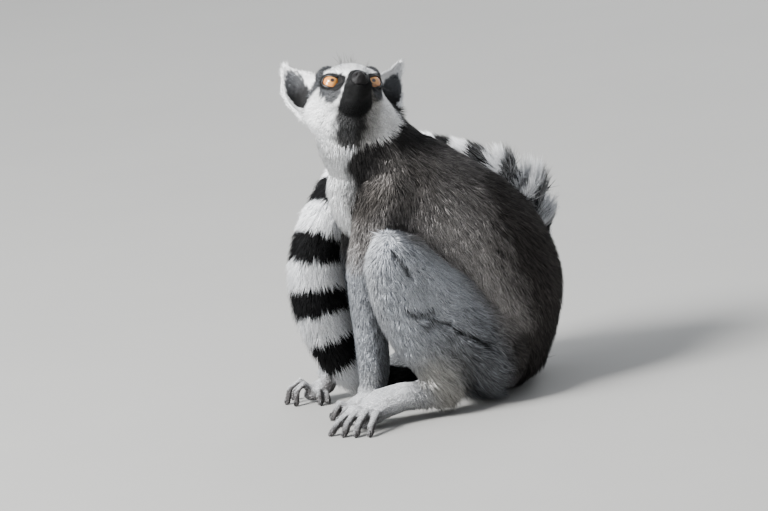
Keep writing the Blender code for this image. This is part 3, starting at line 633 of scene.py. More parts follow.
def skin_mesh():
    """One skin over all the flesh, smoothed, and drawn in by the depth of the coat."""
    settings = lemur()
    obj = bpy.data.objects.new("skin_form", joined_flesh())
    bpy.context.scene.collection.objects.link(obj)
    add_remesh(obj, settings.skin_voxel)
    apply_modifiers(obj)
    tree, owner = search_tree(FLESH)
    mesh = obj.data
    points, edges = points_of(mesh), edges_of(mesh)
    labels = label_points(points, tree, owner)
    soft = relax(softness(points, labels)[:, None], edges, 12)[:, 0]
    points = smooth_form(points, edges, settings.skin_smoothing, soft)
    depth = relax(coat_fields(points, labels)[:, :1], edges, 14)
    triangles = triangles_of(mesh)
    points = press_creases(points, vertex_normals(points, triangles), labels)
    points -= vertex_normals(points, triangles) * (depth + DRAWN_IN) * MM
    points[:, 2] = np.maximum(points[:, 2], LEAST_HEIGHT * MM)
    points = open_eyes(relax(points, edges, 2, 0.5, soft))
    mesh.vertices.foreach_set("co", points.ravel())
    body = obj.vertex_groups.new(name="body")
    body.add(np.nonzero(soft > 0.6)[0].tolist(), 1, "REPLACE")
    fewer = obj.modifiers.new("Fewer", "DECIMATE")
    fewer.vertex_group = body.name
    fewer.ratio = settings.skin_faces / (2 * len(mesh.polygons))
    fewer.use_collapse_triangulate = True
    apply_modifiers(obj)
    mesh = obj.data
    bpy.data.objects.remove(obj)
    mesh.shade_smooth()
    return mesh, tree, owner


def neckline(points, edges, labels):
    """How near each vertex lies to the line where the jaw runs into the neck, from 0 to 1."""
    head = relax(belongs(labels, "head").astype(float)[:, None], edges, 90)[:, 0]
    return np.clip(5 * head * (1 - head), 0, 1) * softness(points, labels)


def fill_under_jaw(points, edges, triangles, line):
    """Fills the hollow where the jaw runs into the neck, and draws in a little of what stands out."""
    moved = relax(points, edges, JAW_ROUNDS, 0.5, line) - points
    outward = np.sum(moved * vertex_normals(points, triangles), axis=1)
    moved *= np.where(outward > 0, 1, 0.15)[:, None]
    return relax(points + moved, edges, 12, 0.5, line)


def narrow_bridge(head):
    """Draws in the sides of the nose's root, which would hide the eyes' inner corners."""
    x, y, z = np.abs(head[:, 0]), head[:, 1], head[:, 2]
    share = smoothstep(-13, -7, z) * smoothstep(13, 9, z)
    share = share * smoothstep(-7, -2, y) * smoothstep(22, 14, y)
    over = np.maximum(x - 10.4 - 0.2 * y, 0) * share * smoothstep(20, 16.5, x)
    return np.column_stack([(x - over) * np.sign(head[:, 0]), y, z])


def opening_share(across, up, height):
    """Where a point lies in the lids' outline: below 1 within it."""
    total = np.abs(across / EYE_OPENING[0]) ** ROUNDNESS + np.abs(up / height) ** ROUNDNESS
    return np.maximum(total, 1e-12) ** (1 / ROUNDNESS)


def open_eyes(points):
    """Sinks the skin behind the eyeballs within the lids, and slopes it up to the face round them."""
    head = narrow_bridge(to_head(points))
    across, up, ahead = from_eye(head).T
    away = np.sqrt(across**2 + up**2 + ahead**2)
    flat = np.maximum(np.hypot(across, up), 1e-6)
    reach = flat / opening_share(across, up, EYE_OPENING[1])
    edge = np.arcsin(np.minimum(reach / (EYE_RADIUS + 0.4), 0.98))
    beyond = (np.arctan2(flat, ahead) - edge) * EYE_RADIUS
    slope = np.maximum(away - SOCKET, 0) * smoothstep(0.8, 8, beyond)
    wanted = np.where(beyond < 0.3, EYE_RADIUS - 1, SOCKET + slope)
    near = smoothstep(17, 12, away) * smoothstep(-8, -5, ahead)
    share = 1 + (wanted / away - 1) * near
    centre = np.tile(np.array(EYE_CENTRE), (len(head), 1))
    centre[:, 0] *= np.sign(head[:, 0])
    return from_head(centre + (head - centre) * share[:, None])


def crease_depth(design, labels):
    """How far the coat parts, and how dark its painted shade is, from 0 to 1, along the rear edge of the
    haunch and the partings.
    """
    x, z = design[:, 0], design[:, 2]
    edge = np.abs(x - edge_at(HAUNCH_EDGE, z))
    depth = 0.25 * np.exp(-((edge / 4) ** 2)) * smoothstep(48, 80, z) * smoothstep(184, 172, z)
    depth *= belongs(labels, "torso", "thigh", "shin")
    on_leg = belongs(labels, "thigh", "shin")
    for *line, wide in PARTINGS:
        line = np.array(line, float)
        for start, end in zip(line, line[1:]):
            along = end - start
            share = ((x - start[0]) * along[0] + (z - start[1]) * along[1]) / (along @ along)
            share = np.clip(share, 0, 1)
            away = np.hypot(x - start[0] - share * along[0], z - start[1] - share * along[1])
            depth = np.maximum(depth, np.exp(-((away / wide) ** 2)) * on_leg)
    return depth


def press_creases(points, normals, labels):
    """Sinks the skin along the creases."""
    depth = crease_depth(to_design(points), labels)
    return points - normals * (CREASE * depth[:, None]) * MM


def lie_of_coat(points, labels):
    """The direction in which the hair points at each vertex."""
    design = to_design(points)
    lie = np.zeros_like(points)
    for index, name in enumerate(FLESH):
        here = np.nonzero(labels == index)[0]
        if kind(name) == "head":
            nose = from_head([NOSE_TIP])[0]
            lie[here] = unit(points[here] - nose) + away_from_eyes(points[here])
            continue
        if kind(name) == "ear":
            side = 1 if name.endswith("right") else -1
            root = from_head([(EAR_MIDDLE[0] * side, *EAR_MIDDLE[1:])])[0]
            lie[here] = unit(points[here] - root)
            continue
        total = np.zeros((len(here), 3))
        for place, direction in LIE[kind(name)]:
            away = design[here] - np.array(place)
            if kind(name) not in ("neck", "torso"):
                away[:, 1] = 0
            total += np.array(direction) / (np.sum(away**2, axis=1)[:, None] + 60)
        lie[here] = unit(total)
    return lie


def away_from_eyes(points):
    """A push away from the nearer eye, strong close to it, so that no tuft falls over the eye."""
    head = to_head(points)
    away = way_from_eye(head)
    push = 2.2 * np.exp(-(((np.linalg.norm(away, axis=1) - 7) / 7) ** 2))
    away[:, 0] *= np.sign(head[:, 0])
    turn = np.array(head_frame())[:3, :3]
    return (unit(away) * push[:, None]) @ turn.T


def mix(low, high, share):
    """Colours between two others, one for each share."""
    return low + (high - low) * share[:, None]


def spot(x, z, middle_x, middle_z, reach):
    """A soft round spot: 1 in its middle, falling off over its reach."""
    return np.exp(-((x - middle_x) ** 2 + (z - middle_z) ** 2) / (2 * reach**2))


def markings_and_shade(points, normals, labels):
    """The coat's colour at each place: the species' pattern with painted light and shade laid on it."""
    design, head = to_design(points), to_head(points)
    ragged = waves(design, 9, 3)
    body = trunk_colours(design, normals, ragged)
    leg = leg_colours(design, normals, ragged, body)
    names = np.array([kind(name) for name in FLESH])[labels]
    sleeve = trunk_colours(design + (16, 0, 0), normals * (0, 1, 1), ragged)
    arm = mix(tint("limb") * 1.1, sleeve, smoothstep(112, 160, design[:, 2] + 5 * ragged))
    coloured = {
        "torso": body,
        "neck": neck_colours(head, ragged, body),
        "upper_arm": arm,
        "forearm": forearm_colours(design, normals, ragged),
        "thigh": leg,
        "shin": leg,
        "hand": paw_colours(design, normals),
        "foot": paw_colours(design, normals),
        "head": face_colours(head, ragged),
        "ear": ear_colours(head, normals),
    }
    colours = np.zeros((len(points), 3))
    for name, values in coloured.items():
        colours[names == name] = values[names == name]
    uneven = 0.07 * waves(design, 45, 5) + 0.06 * waves(design, 17, 8)
    # Painted shade: the coat is darkened along the creases and partings
    dark = 1 - 0.85 * crease_depth(design, labels)
    return colours * ((1 + uneven) * dark)[:, None]


def trunk_colours(design, normals, ragged):
    """Brown-grey coat, darker on the spine and rump, partly as painted shade, and beside the white chest.
    """
    x, _, z = design.T
    # The spine and rump darken partly as the coat's own colour and partly as painted shade on the side
    # turned from the key lamp
    spine = smoothstep(0.2, 1, normals @ unit(np.array((0.8, 0, 0.6))) + 0.1 * ragged)
    spine *= 0.55 + 0.45 * smoothstep(60, 95, x)
    rump = smoothstep(36, 112, x + 4 * ragged)
    low = smoothstep(70, 25, z + 4 * ragged)
    beside = np.abs(x - edge_at(HAUNCH_EDGE, z) - 8)
    pale = np.exp(-((beside / 22) ** 2)) * smoothstep(40, 80, z)
    dark = np.clip(0.16 + 0.5 * spine + 0.8 * rump + 0.7 * low - 0.6 * pale, 0, 1)
    colours = mix(tint("flank"), tint("back"), dark)
    shoulder = sum(strength * spot(x, z, *place) for *place, strength in SHOULDER_SPOTS)
    colours = mix(colours, tint("shoulder"), np.clip(shoulder, 0, 1))
    behind = x - edge_at(CHEST_EDGE, z) + 1.2 * ragged
    nape = smoothstep(0.3, 0.65, normals @ unit(np.array((0.8, 0, 0.5)))) * smoothstep(225, 245, z)
    shade = smoothstep(62, 18, behind) * smoothstep(178, 212, z)
    colours = mix(colours, tint("collar"), np.maximum(shade, nape))
    front = normals @ unit(np.array((-1, 0, -0.2)))
    belly = smoothstep(0.4, 0.75, front) * smoothstep(20, -10, x)
    white = np.maximum(smoothstep(1.5, -1.5, behind) * (1 - nape), belly)
    return mix(colours, tint("white"), white)


def neck_colours(head, ragged, body):
    """As the trunk, but greyed where the dark throat, partly painted shade, ends."""
    grey = np.exp(-((head[:, 0] / 11) ** 2)) * smoothstep(-70, -46, head[:, 1] + 4 * ragged)
    grey *= smoothstep(-20, -32, head[:, 2]) * smoothstep(0.2, 0.6, body.mean(1))
    return mix(body, tint("mask") * 3, 0.7 * grey)


def leg_colours(design, normals, ragged, body):
    """Blue-grey haunch, paler to the knee and shin and cream at the heel, with painted light at the front
    and painted shade at the rear.
    """
    x, _, z = design.T
    grey, pale = tint("limb"), tint("paw")
    share = ((x + 30) - (z - 135)) / 160
    tone = np.interp(share + 0.04 * ragged, *zip(*LEG_TONES))
    colours = grey * tone[:, None]
    # Painted light: the side that faces the key and side lamps is paled
    front = smoothstep(0.35, 0.95, normals @ unit(np.array((-1, 0, 0.15))))
    colours = mix(colours, pale, 0.6 * front)
    heel = spot(x, z, *HEEL_SPOT)
    colours = mix(colours, tint("cream"), np.clip(1.1 * heel, 0, 0.85))
    outside = x - edge_at(HAUNCH_EDGE, z) + 1.5 * ragged
    return mix(colours, body, smoothstep(-11, 9, outside))


def forearm_colours(design, normals, ragged):
    """Pale grey, mottled darker, and darker behind with painted shade on the side turned from the lamps.
    """
    grey, pale = tint("limb"), tint("paw")
    colours = mix(pale, grey * 1.25, smoothstep(20, 60, design[:, 2] + 4 * ragged))
    # Painted shade on the rear side, turned from the key lamp
    rear = smoothstep(-0.3, 0.7, normals @ np.array((1, 0, 0)) + 0.3 * ragged)
    mottled = smoothstep(0.1, 0.9, waves(design, 7, 13)) * smoothstep(20, 45, design[:, 2])
    colours = mix(colours, grey * 0.6, 0.5 * mottled)
    return mix(colours, grey * 0.5, rear)


def paw_points(name):
    """The last joints and tips of a paw's digits, in the design frame."""
    place, heading, outer, ends = PAWS[name]
    turn = np.array(Matrix.Rotation(math.radians(heading), 3, "Z"))
    return (np.array(ends, float) * (1, outer, 1)) @ turn.T + place


def paw_colours(design, normals):
    """Nearly white above, dark skin under the toes and at their ends, and dark between the toes, partly
    skin and partly painted shade.
    """
    pale, dark = tint("paw"), tint("pad")
    tips = np.concatenate([paw_points(name)[:, 1] for name in PAWS])
    away = np.min([np.linalg.norm(design - tip, axis=1) for tip in tips], axis=0)
    under = smoothstep(-0.6, -0.95, normals[:, 2]) * smoothstep(4, 2, design[:, 2])
    # The toes' sides darken partly for their dark skin and partly as painted shade in the gaps between
    # them
    beside = smoothstep(0.75, 0.1, normals[:, 2])
    toes = smoothstep(36, 16, away) * (0.25 + 0.75 * beside) + 0.5 * smoothstep(12, 5, away)
    mottled = 0.5 + 0.5 * waves(design, 4, 17)
    colours = mix(pale, dark, np.clip(toes * (0.7 + 0.3 * mottled) + 0.5 * under, 0, 0.95))
    return mix(colours, tint("cream") * 0.8, smoothstep(-8, 14, design[:, 0]))


def inside(x, z, outline):
    """How far within a closed outline each point lies, below zero outside it."""
    corners = np.array(outline, float)
    nearest = np.full(len(x), np.inf)
    crossings = np.zeros(len(x), int)
    for (ax, az), (bx, bz) in zip(corners, np.roll(corners, -1, axis=0)):
        dx, dz = bx - ax, bz - az
        share = np.clip(((x - ax) * dx + (z - az) * dz) / (dx * dx + dz * dz), 0, 1)
        nearest = np.minimum(nearest, np.hypot(x - ax - share * dx, z - az - share * dz))
        crossings += ((az > z) != (bz > z)) & (x < ax + (z - az) * dx / (dz if dz else 1))
    return np.where(crossings % 2 == 1, nearest, -nearest)


def face_colours(head, ragged):
    """White face, dark patches round the eyes, a dark crown, black muzzle, brown throat, and painted
    shade under the jaw and on the far side.
    """
    white, black, mask, brown = (tint(name) for name in ("white", "black", "mask", "throat"))
    x, y, z = np.abs(head[:, 0]), head[:, 1], head[:, 2]
    hairline = np.interp(x + ragged, *zip(*HAIRLINE))
    hairline += 8 * smoothstep(14, 21, z) * smoothstep(11, 16, x)
    low = np.interp(x, *zip(*CROWN_EDGE))
    crown = smoothstep(2, -3, y - hairline) * smoothstep(low, low + 5, z)
    crown = np.maximum(crown, smoothstep(-36, -46, y) * smoothstep(-14, -2, z))
    colours = mix(np.tile(white, (len(head), 1)), mask, crown)
    patch = smoothstep(-1.6, 1.2, inside(x, z, EYE_PATCH) + 0.7 * ragged) * smoothstep(-22, -15, y)
    pale_low = smoothstep(-6, -15, z)
    colours = mix(colours, mask * 1.1 + 0.035 * pale_low[:, None], patch)
    across, up, _ = from_eye(head).T
    rim = smoothstep(1.55, 1.25, opening_share(across, up, EYE_OPENING[1] + 1))
    colours = mix(colours, black, rim * smoothstep(-22, -14, y))
    # Painted shade on the far side, turned from the lamps: the black muzzle is wider there and the cheek
    # beside it and under the jaw browner
    far = smoothstep(0, -5, head[:, 0])
    wide = np.interp(z, *zip(*MUZZLE_EDGE))
    wide += 2.6 * far * smoothstep(-4, -14, z)
    back = np.interp(z, *zip(*MUZZLE_REAR))
    muzzle = smoothstep(1.1, -1.1, x - wide + 0.6 * ragged) * smoothstep(-3, 3, y - back + ragged)
    muzzle = np.maximum(muzzle, smoothstep(31, 34, y))
    # Painted shade beside the muzzle on the far side
    beside = smoothstep(9, 1, x - wide + ragged) * far * smoothstep(-8, 4, y) * smoothstep(0, -6, z)
    colours = mix(colours, brown * 3.5, 0.8 * beside)
    reach = np.interp(y, *zip(*THROAT_EDGE)) + 1.5 - 5 * far
    throat = smoothstep(6, -5, x - reach + 2.4 * ragged) * smoothstep(-56, -34, y + 3 * ragged)
    throat *= smoothstep(-18, -25, z)
    shaded = smoothstep(16, -5, x - reach - 9 + 2 * ragged) * far * smoothstep(-52, -34, y)
    shaded *= smoothstep(-12, -20, z)
    colours = mix(colours, brown * 6, 0.75 * shaded)
    # The dark throat: partly its own colour, partly painted shade under the jaw
    dark = mix(black * 1.3, brown, smoothstep(-20, -50, y + ragged))
    colours = mix(colours, dark, 0.95 * throat)
    return mix(colours, black, muzzle)


def ear_colours(head, normals):
    """White outside and on the rim, grey hair high in the cup and black low in it."""
    white, black = tint("white"), tint("black")
    forward = normals @ np.array(head_frame().to_3x3() @ Vector((0.1, 1, 0)))
    x, z = np.abs(head[:, 0]), head[:, 2]
    ragged = waves(head, 5, 61)
    cup = smoothstep(-1.4, 0.8, inside(x, z, EAR_CUP) + 0.6 * ragged)
    high = smoothstep(9, 30, z - 0.5 * (43 - x) + 2 * ragged)
    deep = mix(black * 1.2, tint("mask") * 1.7, high)
    return mix(np.tile(white * 0.93, (len(head), 1)), deep, cup * smoothstep(-0.3, 0.2, forward))


def unwrap(tufts, surface):
    """Each tuft's place on a flat sheet, where each part of the skin lies from its six sides, in rows."""
    normals, labels = tufts["normals"], tufts["labels"]
    parts = [surface.points[surface.labels == part] for part in range(len(FLESH))]
    box_low = np.array([points.min(0) for points in parts])
    box_high = np.array([points.max(0) for points in parts])
    sizes = (box_high - box_low) / MM + 4
    axis = np.argmax(np.abs(normals), axis=1)
    facing = (normals[np.arange(len(normals)), axis] > 0).astype(int)
    corner = np.zeros((len(FLESH), 3, 2, 2))
    x = y = row = 0.0
    for part in range(len(FLESH)):
        for way in range(3):
            wide, high = np.delete(sizes[part], way)
            for side in range(2):
                if x + wide > SHEET:
                    x, y, row = 0.0, y + row, 0.0
                corner[part, way, side] = (x, y)
                x, row = x + wide, max(row, high)
    flat = np.empty((len(labels), 2))
    local = (tufts["roots"] - box_low[labels]) / MM + 2
    for way in range(3):
        here = axis == way
        flat[here] = np.delete(local[here], way, axis=1)
    return (flat + corner[labels, axis, facing]) / max(SHEET, y + row)


def tuft_mesh(name, tufts, some, colours, places):
    """Some of the tufts as one mesh, each bent, of three sides and pointed at both ends.

    Of the arrays in tufts, ways are the directions at the root and bends those towards the tip.
    """
    roots, ways, bends, sides, lengths, widths = (tufts[key][some] for key in TUFT_ARRAYS)
    colours, places, count = colours[some], places[some], len(some)
    up = unit(np.cross(ways, sides))
    half = widths[:, None] / 2
    middle = roots + ways * lengths[:, None] * TUFT_BELLY
    tip = middle + bends * lengths[:, None] * (1 - TUFT_BELLY)
    beside, above = sides * half, up * half * TUFT_RISE
    points = np.stack([roots, middle - beside, middle + beside, middle + above, tip], 1)
    pattern = [(0, 2, 1), (0, 3, 2), (0, 1, 3), (1, 2, 4), (2, 3, 4), (3, 1, 4)]
    faces = (np.array(pattern)[None] + (np.arange(count) * 5)[:, None, None]).reshape(-1, 3)
    mesh = bpy.data.meshes.new(name)
    mesh.vertices.add(count * 5)
    mesh.vertices.foreach_set("co", points.ravel())
    mesh.loops.add(faces.size)
    mesh.loops.foreach_set("vertex_index", faces.ravel().astype(np.int32))
    mesh.polygons.add(len(faces))
    mesh.polygons.foreach_set("loop_start", np.arange(0, faces.size, 3, dtype=np.int32))
    mesh.update(calc_edges=True)
    mesh.shade_smooth()
    pale = smoothstep(0.2, 0.7, colours.mean(1))
    shade = np.stack([0.5 + 0.35 * pale] + [0.86 + 0.06 * pale] * 3 + [1.2 - 0.16 * pale], 1)
    store_colours(mesh, (colours[:, None] * shade[:, :, None]).reshape(-1, 3))
    spread = np.array([(0, -0.5), (-0.5, 0), (0.5, 0), (0, 0.15), (0, 0.5)])
    flat = places[:, None] + spread[None] * PATCH
    layer = mesh.uv_layers.new(name="OFBake")
    layer.data.foreach_set("uv", flat.reshape(-1, 2)[faces.ravel()].astype(np.float32).ravel())
    return mesh


def store_colours(mesh, colours):
    """Gives each vertex a colour, which the materials of coat and skin read."""
    full = np.ones((len(colours), 4), np.float32)
    full[:, :3] = np.clip(colours, 0, 1)
    layer = mesh.color_attributes.new("coat", "FLOAT_COLOR", "POINT")
    layer.data.foreach_set("color", full.ravel())


def scatter(surface, density, rng):
    """Evenly spread places on the surface: the triangle and the three shares of each."""
    a, b, c = (surface.points[surface.triangles[:, k]] for k in range(3))
    area = np.linalg.norm(np.cross(b - a, c - a), axis=1) / 2 / MM**2
    wanted = area * density[surface.triangles].mean(1)
    centre = ((a + b + c) / 3 - surface.points.min(0)) / MM
    order = np.argsort(along_curve((centre / 4).astype(np.int64)), kind="stable")
    steps = np.cumsum(wanted[order])
    count = int(steps[-1])
    at = (np.arange(count) + rng.random(count)) / count * steps[-1]
    chosen = order[np.minimum(np.searchsorted(steps, at), len(order) - 1)]
    p, q = rng.random(count), rng.random(count)
    over = p + q > 1
    p[over], q[over] = 1 - p[over], 1 - q[over]
    return chosen, np.stack([1 - p - q, p, q], 1)


def along_curve(cells):
    """A number for each cell of a grid, so that near numbers are near cells."""
    code = np.zeros(len(cells), np.int64)
    for bit in range(8):
        for axis in range(3):
            code |= ((cells[:, axis] >> bit) & 1) << (3 * bit + axis)
    return code


def at_places(surface, chosen, shares, values):
    """Values at the vertices read at places on the surface."""
    picked = values[surface.triangles[chosen]]
    return np.einsum("nk,nk...->n...", shares, picked)


def wavy(points, length, seed):
    """A smooth random direction for each point, which makes the coat part into locks."""
    return np.stack([waves(points, length, seed + axis) for axis in range(3)], 1)


def leaning(lie, out, lift):
    """Directions along the lie, but lifted off the surface by the sine of their slope."""
    return unit(lie * np.sqrt(1 - lift**2)[:, None] + out * lift[:, None])


def coat_tufts(surface):
    """Every tuft of the body's coat as arrays."""
    rng = np.random.default_rng(11)
    labels = surface.labels
    fields = relax(coat_fields(surface.points, labels), surface.edges, 14)
    chosen, shares = scatter(surface, 1 / fields[:, 3] ** 2, rng)

    def read(values):
        return at_places(surface, chosen, shares, values)

    label = labels[surface.triangles[chosen, np.argmax(shares, 1)]]
    roots, normals = read(surface.points), unit(read(surface.normals))
    depth, length, width, _ = read(fields).T
    count = len(roots)
    design = to_design(roots)
    kinks = wavy(design, 11, 21) * 0.24 + wavy(design, 34, 51) * 0.18
    kinks = kinks + rng.normal(size=(count, 3)) * 0.15
    kinks *= np.where(belongs(label, "neck", "head", "forearm"), 0.5, 1)[:, None]
    lie = unit(read(surface.lie)) + kinks
    lie = unit(lie - normals * np.sum(lie * normals, 1)[:, None])
    length = length * rng.uniform(0.7, 1.15, count)
    low = 1 - 0.75 * crease_depth(design, label)
    ruff = belongs(label, "neck") * smoothstep(0.2, -0.5, normals[:, 0])
    head = to_head(roots)
    jaw = smoothstep(8, 16, head[:, 0]) * smoothstep(-30, -44, head[:, 1])
    jaw = belongs(label, "head") * jaw
    length = length + 3 * ruff + 4 * jaw
    rear = belongs(label, "torso") * smoothstep(50, 90, design[:, 0])
    rise = (depth * rng.uniform(0.75, 1.2, count) + 0.5 + ruff + 1.6 * rear + 1.5 * jaw) * low
    lift = np.minimum(rise / length, 0.7)
    tufts = {
        "roots": roots - normals * 0.5 * MM,
        "normals": normals,
        "ways": leaning(lie, normals, np.minimum(lift * 1.25, 0.85)),
        "bends": leaning(lie, normals, lift * 0.75),
        "sides": unit(np.cross(lie, normals)),
        "lengths": length * MM,
        "widths": width * rng.uniform(0.75, 1.25, count) * MM,
        "labels": label,
    }
    across, up, ahead = from_eye(head).T
    clear = (ahead > 0) & (np.hypot(across / EYE_CLEARING[0], up / EYE_CLEARING[1]) < 1)
    return {key: value[~clear] for key, value in tufts.items()}, rng


class Surface:
    """The skin with, at each vertex, its part, the way out of it and the lie of the coat."""

    def __init__(self, mesh, labels, line):
        self.points, self.labels = points_of(mesh), labels
        self.triangles, self.edges = triangles_of(mesh), edges_of(mesh)
        normals = vertex_normals(self.points, self.triangles)
        self.normals = unit(relax(normals, self.edges, 30, 0.5, softness(self.points, labels)))
        lie = relax(lie_of_coat(self.points, labels), self.edges, 20)
        self.lie = relax(lie, self.edges, 80, 0.5, line)


def grizzled(colours, rng, strength):
    """Single tufts lighter or darker than their place, with a few pale and a few dark ones."""
    count = len(colours)
    strength = strength * np.interp(colours.mean(1), *zip(*GRIZZLE_AT))
    factor = 1 + strength * rng.normal(size=count).clip(-2, 2)
    factor *= 1 + 1.4 * strength * (rng.random(count) < 0.1)
    factor *= 1 - strength * (rng.random(count) < 0.12)
    return colours * factor.clip(0.25, 3)[:, None]


def tuft_colours(tufts, rng):
    """Each tuft's colour: that of the pattern and painted shade at its middle, a little lighter or
    darker.
    """
    middle = tufts["roots"] + tufts["ways"] * (0.5 * tufts["lengths"])[:, None]
    colours = markings_and_shade(middle, tufts["normals"], tufts["labels"])
    uneven = np.array([GRIZZLE.get(kind(name), 1) for name in FLESH])[tufts["labels"]]
    return grizzled(colours, rng, lemur().grizzle * uneven)


def keep_above_floor(tufts):
    """Turns up the parts of tufts that would pass the floor."""
    least = 1.3 * MM
    height = tufts["roots"][:, 2]
    for part, share in (("ways", TUFT_BELLY), ("bends", 1 - TUFT_BELLY)):
        reach = tufts["lengths"] * share
        wanted = height + tufts[part][:, 2] * reach
        tufts[part][:, 2] += np.maximum(least - wanted, 0) / reach
        height = np.maximum(wanted, least)


def coat_colour(nodes):
    """The colour that each vertex was given, for a material."""
    reader = nodes.new("ShaderNodeAttribute")
    reader.attribute_type = "GEOMETRY"
    reader.attribute_name = "coat"
    return reader.outputs["Color"]


def add_node(nodes, name, operation=None, **inputs):
    """A shader node with values on its inputs, where _ stands for a space and arg0 for the first."""
    node = nodes.new("ShaderNode" + name)
    if operation:
        node.operation = operation
    for key, value in inputs.items():
        socket = int(key[3:]) if key.startswith("arg") else key.replace("_", " ")
        node.inputs[socket].default_value = value
    return node


def speckle_group():
    """A node group that varies a colour a little, at the scale of single hairs and of patches."""
    name = "hair_speckle"
    if name in bpy.data.node_groups:
        return bpy.data.node_groups[name]
    group = bpy.data.node_groups.new(name, "ShaderNodeTree")
    sockets = (("Color", "INPUT"), ("Scale", "INPUT"), ("Amount", "INPUT"), ("Color", "OUTPUT"))
    for label, way in (*sockets, ("Height", "OUTPUT")):
        form = "NodeSocketColor" if label == "Color" else "NodeSocketFloat"
        group.interface.new_socket(label, in_out=way, socket_type=form)
    nodes, links = group.nodes, group.links
    given, made = nodes.new("NodeGroupInput"), nodes.new("NodeGroupOutput")
    place = add_node(nodes, "TexCoord")
    noise = add_node(nodes, "TexNoise", Detail=4, Roughness=0.65)
    spread = add_node(nodes, "MapRange", From_Min=0.3, From_Max=0.7)
    low = add_node(nodes, "Math", "SUBTRACT", arg0=1)
    high = add_node(nodes, "Math", "ADD", arg0=1)
    scaled = add_node(nodes, "VectorMath", "SCALE")
    links.new(place.outputs["Object"], noise.inputs["Vector"])
    links.new(given.outputs["Scale"], noise.inputs["Scale"])
    links.new(given.outputs["Amount"], low.inputs[1])
    links.new(given.outputs["Amount"], high.inputs[1])
    links.new(noise.outputs["Fac"], spread.inputs["Value"])
    links.new(low.outputs[0], spread.inputs["To Min"])
    links.new(high.outputs[0], spread.inputs["To Max"])
    links.new(given.outputs["Color"], scaled.inputs[0])
    links.new(spread.outputs["Result"], scaled.inputs["Scale"])
    links.new(scaled.outputs[0], made.inputs["Color"])
    links.new(noise.outputs["Fac"], made.inputs["Height"])
    return group


def new_material(name, roughness, specular):
    """A plain Principled material, its nodes and links, and its shader."""
    made = bpy.data.materials.new(name)
    made.use_nodes = True
    shader = made.node_tree.nodes["Principled BSDF"]
    shader.inputs["Roughness"].default_value = roughness
    shader.inputs["Specular IOR Level"].default_value = specular
    return made, made.node_tree.nodes, made.node_tree.links, shader


def speckled(nodes, links, shader, colour, scale, amount, bump=0.0, distance=0.0003):
    """Feeds a colour through the speckle group to the shader, with bump from the same grain."""
    group = nodes.new("ShaderNodeGroup")
    group.node_tree = speckle_group()
    group.inputs["Scale"].default_value = scale
    group.inputs["Amount"].default_value = amount
    if isinstance(colour, bpy.types.NodeSocket):
        links.new(colour, group.inputs["Color"])
    else:
        group.inputs["Color"].default_value = (*colour, 1)
    links.new(group.outputs["Color"], shader.inputs["Base Color"])
    if bump:
        relief = add_node(nodes, "Bump", Strength=bump, Distance=distance)
        links.new(group.outputs["Height"], relief.inputs["Height"])
        links.new(relief.outputs["Normal"], shader.inputs["Normal"])


def finished(name, colour=None):
    """A material of FINISHES in one colour, or in the colours that the vertices were given."""
    roughness, specular, *grain = FINISHES[name]
    made, nodes, links, shader = new_material(name, roughness, specular)
    speckled(nodes, links, shader, coat_colour(nodes) if colour is None else colour, *grain)
    return made


def coat_material():
    """The finish of every tuft, made once."""
    return bpy.data.materials.get("coat") or finished("coat")


def add_coat(group, tufts, here, colours, places, slot):
    """The tufts of one part as pieces of the coat, in as many as their number asks for."""
    pieces = max(1, math.ceil(len(here) / TUFTS_IN_PIECE))
    for number, some in enumerate(np.array_split(here, pieces)):
        name = f"coat_{group}" + (f"_{number + 1}" if pieces > 1 else "")
        add_piece(name, tuft_mesh(name, tufts, some, colours, places), coat_material(), slot)


class LEMUR_OT_skin_and_coat(bpy.types.Operator):
    """One skin over the whole body, and the coat that grows on it"""

    bl_idname = "lemur.skin_and_coat"
    bl_label = "Skin and coat"

    def execute(self, context):
        mesh, tree, owner = skin_mesh()
        points, edges = points_of(mesh), edges_of(mesh)
        labels = label_points(points, tree, owner)
        line = neckline(points, edges, labels)
        mesh.vertices.foreach_set("co", fill_under_jaw(points, edges, triangles_of(mesh), line).ravel())
        surface = Surface(mesh, labels, line)
        colours = markings_and_shade(surface.points, surface.normals, labels)
        store_colours(mesh, colours * (0.55 + 0.3 * smoothstep(0.2, 0.7, colours.mean(1)))[:, None])
        add_piece("skin", mesh, finished("skin"), "coat_back", *FLESH)
        tufts, rng = coat_tufts(surface)
        keep_above_floor(tufts)
        colours, places = tuft_colours(tufts, rng), unwrap(tufts, surface)
        for group in sorted({kind(name) for name in FLESH}):
            here = np.nonzero(belongs(tufts["labels"], group))[0]
            add_coat(group, tufts, here, colours, places, COATS[group][5])
        return {"FINISHED"}


def catmull_rom(points, pieces):
    """Rows of numbers read from a smooth curve through the given rows."""
    rows = np.array(points, float)
    ends = np.vstack([2 * rows[0] - rows[1], rows, 2 * rows[-1] - rows[-2]])
    made = []
    for i in range(1, len(ends) - 2):
        p0, p1, p2, p3 = ends[i - 1 : i + 3]
        for k in range(pieces):
            t = k / pieces
            cubic = (2 * p0 - 5 * p1 + 4 * p2 - p3) * t**2 + (3 * p1 - p0 - 3 * p2 + p3) * t**3
            made.append(0.5 * (2 * p1 + (p2 - p0) * t + cubic))
    made.append(rows[-1])
    return np.array(made)


def frames_along(line):
    """Directions along a line, and two cross directions that turn as little as they can."""
    ahead = unit(np.gradient(line, axis=0))
    side, sides = np.array((0, 0, 1.0)), []
    for direction in ahead:
        side = side - direction * side.dot(direction)
        side /= np.linalg.norm(side)
        sides.append(side)
    sides = np.array(sides)
    return ahead, sides, np.cross(ahead, sides)


